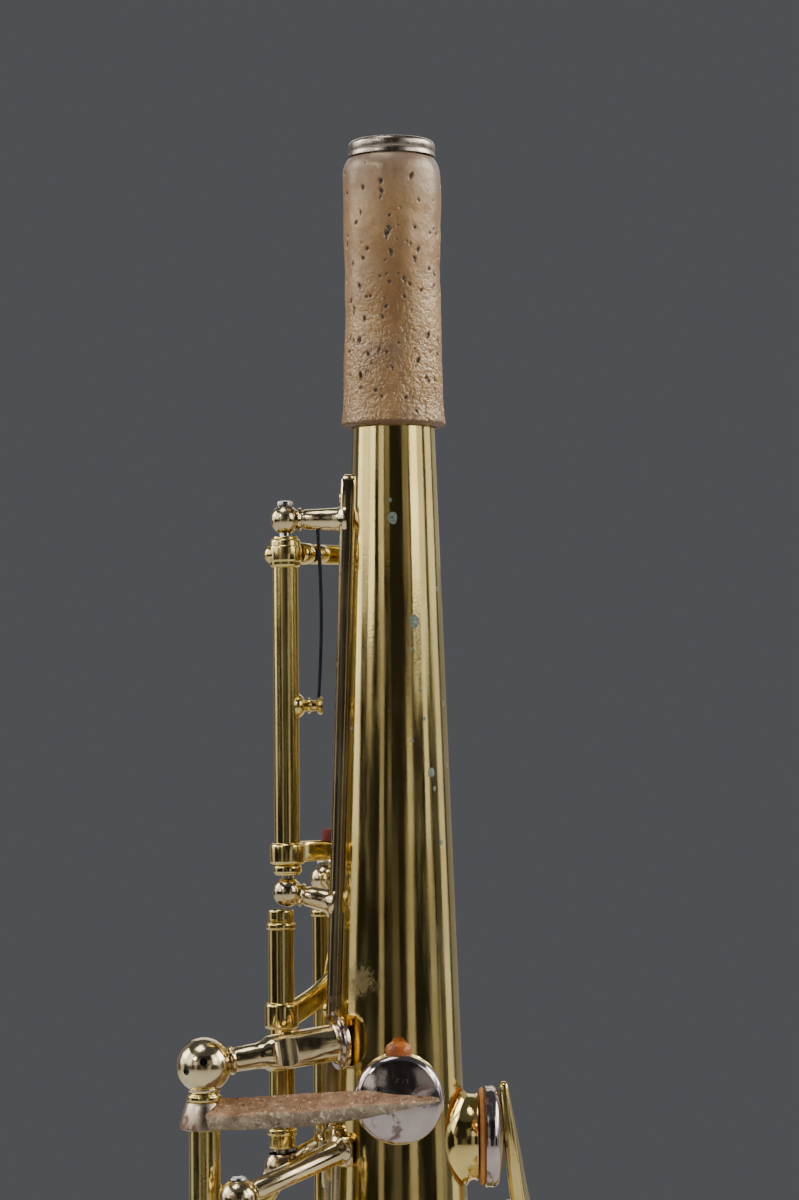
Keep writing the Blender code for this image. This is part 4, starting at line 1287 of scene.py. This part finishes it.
def cup(shape, hole, dome=0.7, shoulder=1.0):
    """A pad cup: thin walls round the pad, a rounded shoulder and a slightly domed back."""
    radius = cup_radius(hole)
    low = CUP_DEPTH - 0.1
    rise = dome + 0.1
    bend = arc((radius - shoulder, low - shoulder), shoulder, 4, 74, 9)
    edge, height = bend[-1]
    profile = [(0.0, 2.1), (radius - 0.6, 2.1), (radius - 0.6, CUP_LIP + 0.12), (radius - 0.5, CUP_LIP),
               (radius - 0.12, CUP_LIP), (radius + 0.02, CUP_LIP + 0.1), (radius + 0.02, CUP_LIP + 0.34),
               (radius - 0.04, CUP_LIP + 0.42)] + bend
    top = low + rise
    for share in (0.95, 0.88, 0.8, 0.7, 0.58, 0.44, 0.3, 0.15):
        profile.append((edge * share, top - (top - height) * share ** 2))
    profile.append((0.0, top))
    base = polar(hole.angle, rim_level(hole) + SEAT_GAP, hole.station)
    lathe(shape, profile, base, outward(hole.angle), 96)


def pad(name, hole, turn):
    """The leather pad, with a rolled edge and the ring its chimney has pressed.

    All but the small pads have a metal disc riveted to their face."""
    label = name.replace("_key", "")
    radius = cup_radius(hole) - 0.65
    bore = hole.bore / 2
    facing = outward(hole.angle)
    face = -0.02
    profile = [(0.0, 1.9), (radius - 0.05, 1.9), (radius, CUP_LIP + 0.1), (radius + 0.22, CUP_LIP - 0.1),
               (radius + 0.36, 0.5), (radius + 0.3, 0.2), (radius + 0.05, face), (bore + 1.0, face + 0.02),
               (bore + 0.3, face + 0.14), (bore - 0.15, face + 0.06), (bore * 0.8, face - 0.04),
               (bore * 0.4, face - 0.05), (0.0, face - 0.05)]
    base = polar(hole.angle, rim_level(hole) + SEAT_GAP, hole.station)
    replaced = [label + "_pad"] if label + "_pad" in frame["nodes"] else []
    turned(label + "_pad_leather", profile, base, facing, 64, leather, name, replaced, turn)
    if hole.bore > SMALL_PAD_BORE:
        wide = bore * 0.42
        disc = [(0.0, 0.3), (wide, 0.3), (wide, face - 0.08), (wide * 0.85, face - 0.22),
                (wide * 0.35, face - 0.3), (wide * 0.25, face - 0.42), (0.0, face - 0.46)]
        turned(label + "_pad_resonator", disc, base, facing, 40, nickel, name, (), turn)


def cup_arm(shape, name, hole):
    """The arm that runs from the hinge tube over the edge of the cup and across its back."""
    hinge = on_line(name, hole.station)
    normal = outward(hole.angle)
    side = around(hole.angle)
    offset = hinge.dot(side)
    level = rim_level(hole) + SEAT_GAP + CUP_DEPTH + 0.25
    centre = polar(hole.angle, level, hole.station)
    drop = max(0.0, level - hinge.dot(normal) - 4.0)
    shoulder = centre + side * (offset * 0.8) - normal * drop
    inner = centre + side * math.copysign(cup_radius(hole) * 0.62, offset) - normal * 0.1
    end = centre - side * math.copysign(cup_radius(hole) * 0.5, offset) + normal * 0.15
    width = 3.4 + hole.bore * 0.06
    sweep(shape, [hinge, shoulder, inner, centre + normal * 0.3, end], (width, 2.6), (1.9, 1.3), UP, 4.5)


def pearl_touch(name, hole, radius, turn):
    """A pearl in its brass holder, standing on the middle of the cup."""
    label = name.replace("_key", "")
    facing = outward(hole.angle)
    foot = polar(hole.angle, rim_level(hole) + CUP_DEPTH + 0.5, hole.station)
    holder = [
        (0.0, 0.0), (radius * 0.62, 0.0), (radius * 0.66, 0.3), (radius * 0.6, 0.6), (radius * 0.7, 0.95),
        (radius * 0.93, 1.15), (radius, 1.4), (radius, 2.2), (radius - 0.12, 2.36), (radius - 0.38, 2.36),
        (radius - 0.46, 2.2), (radius - 0.46, 1.5), (0.0, 1.5)]
    turned(label + "_pearl_holder", holder, foot, facing, 56, key_brass, name, (), turn)
    inner = radius - 0.5
    shell = [
        (0.0, 1.55), (inner - 0.1, 1.55), (inner, 1.7), (inner, 2.4), (inner - 0.12, 2.62),
        (inner - 0.5, 2.72), (inner * 0.72, 2.64), (inner * 0.45, 2.5), (inner * 0.2, 2.42), (0.0, 2.4)]
    turned(label + "_pearl_shell", shell, foot, facing, 56, pearl_shell, name, (), turn)


def touch(shape, path, length, width, facing):
    """A lever arm through (angle, radius, station) places to a dished oval touch plate."""
    points = route(*path)
    sweep(shape, points, (4.0, 3.4), (2.1, 1.5), UP)
    oval(shape, points[-1] + facing * 0.12, facing, length, width, 1.9, TOUCH_DISH)
    ball(shape, points[-2] * 0.35 + points[-1] * 0.65 - facing * 0.2, 1.25, UP, 24)


def key(name, top, plate=None, build=None, pearl_radius=0.0, turn=0.0, own_arm=False, silver_cup=False,
        dome=0.7, shoulder=1.0, spring=None, tube_radius=TUBE_RADIUS):
    """One soldered key.

    `plate` has its touch's path, length, width and facing, `spring` the station and length of its
    cradle, and `build` adds what this key alone has."""
    hole = HOLES.get(name)
    shape = bmesh.new()
    hinge_tube(shape, name, top, tube_radius)
    bottom = HEIGHT - PIVOTS[name].z
    collar(shape, name, top + 2.6, tube_radius + 0.32, 1.1)
    collar(shape, name, bottom - 2.6, tube_radius + 0.32, 1.1)
    if build:
        build(shape)
    if plate:
        touch(shape, *plate)
    if spring:
        cradle(shape, name, *spring)
    if hole:
        if not own_arm:
            cup_arm(shape, name, hole)
            collar(shape, name, hole.station, TUBE_RADIUS + 0.45, 4.6)
        pad(name, hole, turn)
        if pearl_radius:
            pearl_touch(name, hole, pearl_radius, turn)
        if silver_cup:
            plated = bmesh.new()
            cup(plated, hole, dome, shoulder)
            piece(name.replace("_key", "_cup_plated"), plated, silver, name, (), turn)
        else:
            cup(shape, hole, dome, shoulder)
    piece(name + "_brass", shape, key_brass, name, [name], turn)


def upper_octave_parts(shape):
    """The arm round to the felt bumper, sleeves and a knob on the hinge tube, two discs on the cup's arm."""
    name = "upper_octave_key"
    sweep(shape, route((-90, 17.5, 114), (-112, 16.5, 114), (-134, 14.6, 114)), (3.8, 3.2), (1.9, 1.7), UP)
    sleeves = ((66.1, 2.72, 2.9), (64.2, 2.3, 1.0), (113.9, 2.85, 3.4), (116.4, 2.3, 1.4))
    for station, radius, height in sleeves:
        collar(shape, name, station, radius, height)
    lathe(shape, [(0.0, -0.2), (1.3, -0.2), (1.5, 0.4), (1.2, 1.0), (0.55, 1.45), (0.0, 1.55)],
          on_line(name, 66.2) + Vector((-1.9, -0.3, 0.0)), Vector((-1.0, -0.1, 0.0)), 24)
    for shift, wide in ((3.0, 1.75), (5.4, 1.5)):
        bead = [(0.0, -1.1), (wide - 0.2, -1.1), (wide, -0.8), (wide, 0.8), (wide - 0.2, 1.1), (0.0, 1.1)]
        lathe(shape, bead, on_line(name, 66.0) + Vector((shift, shift * 0.72, 0.0)),
              Vector((1.0, 0.9, 0.0)).normalized(), 24)


def octave_keys():
    key("upper_octave_key", 63.3, build=upper_octave_parts, spring=(90.4, 3.9))
    key("lower_octave_key", 122.0, spring=(140.3, 3.6))
    felt = [(0.0, -1.0), (1.5, -1.0), (1.7, -0.7), (1.7, 0.7), (1.5, 1.0), (0.0, 1.0)]
    turned("octave_felt", felt, polar(-134, 14.6, 111.6), UP, 24, red_felt, "upper_octave_key")
    lever = [(-45, 19.8, 229), (-28, 22.6, 226), (-8, 22.0, 221), (0, 21.4, 219)]
    key("octave_thumb_lever", 224.0, (lever, 12.0, 15.0, outward(0)))


def palm_f_arm(shape):
    arm = route((-90, 18.6, 140.5), (-118, 14.3, 137), (-141, 13.2, 132.5), (-162, 15.0, 127),
                (-180, 15.8, 125), (-191, 16.0, 125))
    sweep(shape, arm, (4.0, 2.8), (1.9, 1.4), UP)
    collar(shape, "palm_f_key", 139.6, 2.75, 4.2)


def palm_eb_collar(shape):
    collar(shape, "palm_eb_key", 150.5, 2.75, 1.1)


def palm_eb_arm():
    """The corroded arm: a bar with a wide bevel along its upper front edge."""
    outline = [
        (-0.5, 0.36), (-0.44, 0.48), (-0.3, 0.5), (-0.04, 0.5), (0.02, 0.46), (0.08, 0.38), (0.42, -0.3),
        (0.49, -0.4), (0.46, -0.5), (-0.44, -0.5), (-0.5, -0.42)]
    shape = bmesh.new()
    sweep(shape, route((-65, 33.1, 152.7), (-57, 31.4, 152.6), (-40, 22.6, 152.0), (-18, 18.0, 151.3),
                       (0, 17.3, 151.0), (18, 18.0, 150.7)),
          (4.7, 4.6, 4.7, 4.1, 2.3, 0.8), (3.6, 3.6, 3.4, 2.6, 1.9, 1.3), UP, outline=outline)
    piece("palm_eb_arm", shape, bare_metal, "palm_eb_key")


def palm_keys():
    palm_f = [(-90, 18.6, 157), (-118, 22, 161), (-122, 25, 169), (-114, 30.5, 177), (-108, 33.5, 188)]
    key("palm_f_key", 122.8, (palm_f, 18.0, 9.0, outward(-108)), palm_f_arm, own_arm=True)
    palm_eb = [(-65, 33.1, 180), (-71, 38.0, 184), (-76, 40.5, 196)]
    key("palm_eb_key", 149.8, (palm_eb, 19.0, 9.5, outward(-90)), palm_eb_collar, own_arm=True,
        silver_cup=True, dome=0.95, shoulder=1.5, spring=(165.4, 3.8), tube_radius=2.45)
    palm_eb_arm()
    hole = HOLES["palm_eb_key"]
    middle = polar(hole.angle, rim_level(hole) + 0.7, hole.station - cup_radius(hole) - 0.3)
    rows = ((-90, 0.0), (-60, 0.5), (-25, 0.92), (5, 1.0), (35, 0.86), (60, 0.56), (90, 0.0))
    bead = [(2.1 * share, 1.55 * math.sin(math.radians(lift))) for lift, share in rows]
    turned("palm_eb_pad_shellac", bead, middle, UP, 36, shellac, "palm_eb_key")
    skirt = [
        (2.4, -2.35), (3.5, -2.35), (3.85, -2.15), (3.85, -1.75), (3.3, 0.3), (2.9, 1.5), (2.75, 1.75),
        (2.4, 1.8)]
    turned("palm_eb_skirt", skirt, on_line("palm_eb_key", 152.9), UP, 56, worn_skirt, "palm_eb_key",
           ring=True)
    palm_d = [(-52.2, 31.0, 205), (-55, 36.0, 210), (-57, 38.5, 221)]
    key("palm_d_key", 168.0, (palm_d, 18.0, 9.0, outward(-70)), silver_cup=True, spring=(190.4, 3.8))


def side_e_arm(shape):
    sweep(shape, route((114, 19.7, 181), (107, 20.9, 178.5), (99, 20.1, 173.5), (95, 18.9, 167),
                       (91, 17.9, 160), (90, 17.2, 155), (90, 16.7, 151)),
          (5.0, 5.0, 4.8, 4.4, 3.8, 3.0), (2.2, 2.6, 2.6, 2.4, 1.9, 1.4), around(60), 3.2,
          across_end=around(90))


def side_bb_arm(shape):
    arm = route((25, 22.0, 247), (33, 25.4, 247), (50, 24.4, 247), (66, 21.0, 247), (83, 20.0, 247))
    sweep(shape, arm, (4.2, 3.0), (1.9, 1.4), UP)


def side_keys():
    side_e = [(114, 19.7, 288), (112, 25.5, 289), (110, 29.0, 292)]
    key("side_e_key", 176.6, (side_e, 16.0, 8.0, -around(112)), side_e_arm, own_arm=True, silver_cup=True,
        shoulder=1.2)
    side_c = [(38.5, 19.4, 304), (46, 25.0, 305), (50, 28.5, 307)]
    key("side_c_key", 213.0, (side_c, 15.0, 8.0, around(48)))
    side_bb = [(25, 22.0, 324), (30, 28.0, 325), (34, 31.5, 326)]
    key("side_bb_key", 238.0, (side_bb, 13.0, 8.0, around(32)), side_bb_arm, own_arm=True)


def stack_keys():
    uppers = (("c_vent_key", 192.0, 0.0), ("b_key", 203.6, PEARL_RADIUS),
              ("bis_key", 223.6, SMALL_PEARL_RADIUS), ("a_key", 243.6, PEARL_RADIUS),
              ("g_key", 267.6, PEARL_RADIUS))
    for name, top, pearl_radius in uppers:
        key(name, top, pearl_radius=pearl_radius, turn=-UPPER_OPEN)
    g_sharp = [(-96.4, 23.4, 312), (-99, 29.5, 312), (-104, 32.5, 313)]
    key("g_sharp_key", 296.5, (g_sharp, 11.0, 12.0, outward(-130)))
    lowers = (("f_sharp_key", 319.0, 0.0), ("f_key", 344.6, PEARL_RADIUS), ("e_key", 373.6, PEARL_RADIUS),
              ("d_key", 403.6, PEARL_RADIUS))
    for name, top, pearl_radius in lowers:
        key(name, top, pearl_radius=pearl_radius, turn=-LOWER_OPEN)


def bell_keys():
    low_eb = [(118, 28.3, 437), (124, 34.0, 437), (131, 36.0, 437)]
    key("low_eb_key", 433.0, (low_eb, 13.0, 13.0, outward(140)))
    low_c = [(146, 30.0, 457), (152, 35.5, 456), (158, 36.0, 455)]
    key("low_c_key", 454.0, (low_c, 13.0, 13.0, outward(165)), turn=-BELL_OPEN)
    low_c_sharp = [(-124, 30.2, 330), (-128, 35.0, 331), (-134, 36.5, 332)]
    key("low_c_sharp_key", 326.5, (low_c_sharp, 12.0, 12.0, outward(-140)))
    low_b = [(-108, 31.9, 344), (-112, 36.5, 345), (-118, 38.0, 346)]
    key("low_b_key", 340.5, (low_b, 12.0, 12.0, outward(-125)), turn=BELL_OPEN)
    low_bb = [(-93, 33.0, 358), (-97, 38.0, 359), (-103, 39.5, 360)]
    key("low_bb_key", 354.5, (low_bb, 12.0, 12.0, outward(-110)), turn=BELL_OPEN)


# ------------------------------------------------------------------ thumb and strap fittings

THUMB_REST_STATION = 240.0
STRAP_RING_STATION = 272.0
THUMB_HOOK_STATION = 350.0


def on_back(station):
    """The place on the player's side where a fitting's foot stands."""
    return polar(0, outer_radius(station) + RIB_LIFT, station)


def thumb_rest():
    profile = [
        (0.0, -0.2), (3.2, -0.2), (3.2, 0.2), (2.7, 0.7), (2.25, 1.2), (2.1, 2.2), (2.25, 3.0), (3.4, 3.7),
        (5.7, 4.1), (6.15, 4.5), (6.2, 5.2), (5.9, 5.75), (5.2, 6.1), (4.0, 6.3), (2.0, 6.55), (0.0, 6.6)]
    turned("thumb_rest_turned", profile, on_back(THUMB_REST_STATION), outward(0), 64, key_brass, "instrument",
           ["thumb_rest"])


def strap_ring():
    base = on_back(STRAP_RING_STATION)
    shape = bmesh.new()
    lathe(shape, [
        (0.0, -0.2), (3.2, -0.2), (3.2, 0.25), (2.9, 0.6), (2.2, 1.0), (1.8, 1.8), (1.6, 2.8), (1.9, 3.3),
        (1.5, 3.8), (0.0, 3.9)], base, outward(0), 40)
    lathe(shape, arc((5.3, 0.0), 1.1, 0, 345, 23), base + outward(0) * 8.4, Vector((1, 0, 0)), 72, ring=True)
    piece("strap_ring_turned", shape, key_brass, "instrument", ["strap_ring"])


def thumb_hook():
    station = THUMB_HOOK_STATION
    level = outer_radius(station) + RIB_LIFT
    shape = bmesh.new()
    plate = route(
        (0, level + 0.7, station - 13.5), (0, level + 1.0, station - 2), (0, level + 1.3, station + 9.5))
    sweep(shape, plate, (9.0, 9.0), (1.5, 1.5), around(0), 6.0)
    bend = route(
        (0, level + 1.0, station - 9), (0, level + 6.0, station - 10), (0, level + 12.0, station - 8),
        (0, level + 17.4, station - 3), (0, level + 19.4, station + 3.8))
    sweep(shape, bend, (8.0, 10.3), (2.6, 2.2), around(0), 4.5)
    for drop in (-2.5, 6.0):
        lathe(shape, [(0.0, -0.2), (1.7, -0.2), (1.8, 0.3), (1.4, 0.8), (0.0, 1.0)],
              polar(0, level + 1.8 + drop * 0.02, station + drop), outward(0), 28)
    piece("thumb_hook_cast", shape, key_brass, "instrument", ["thumb_hook"])


octave_keys()
palm_keys()
side_keys()
stack_keys()
bell_keys()
thumb_rest()
strap_ring()
thumb_hook()
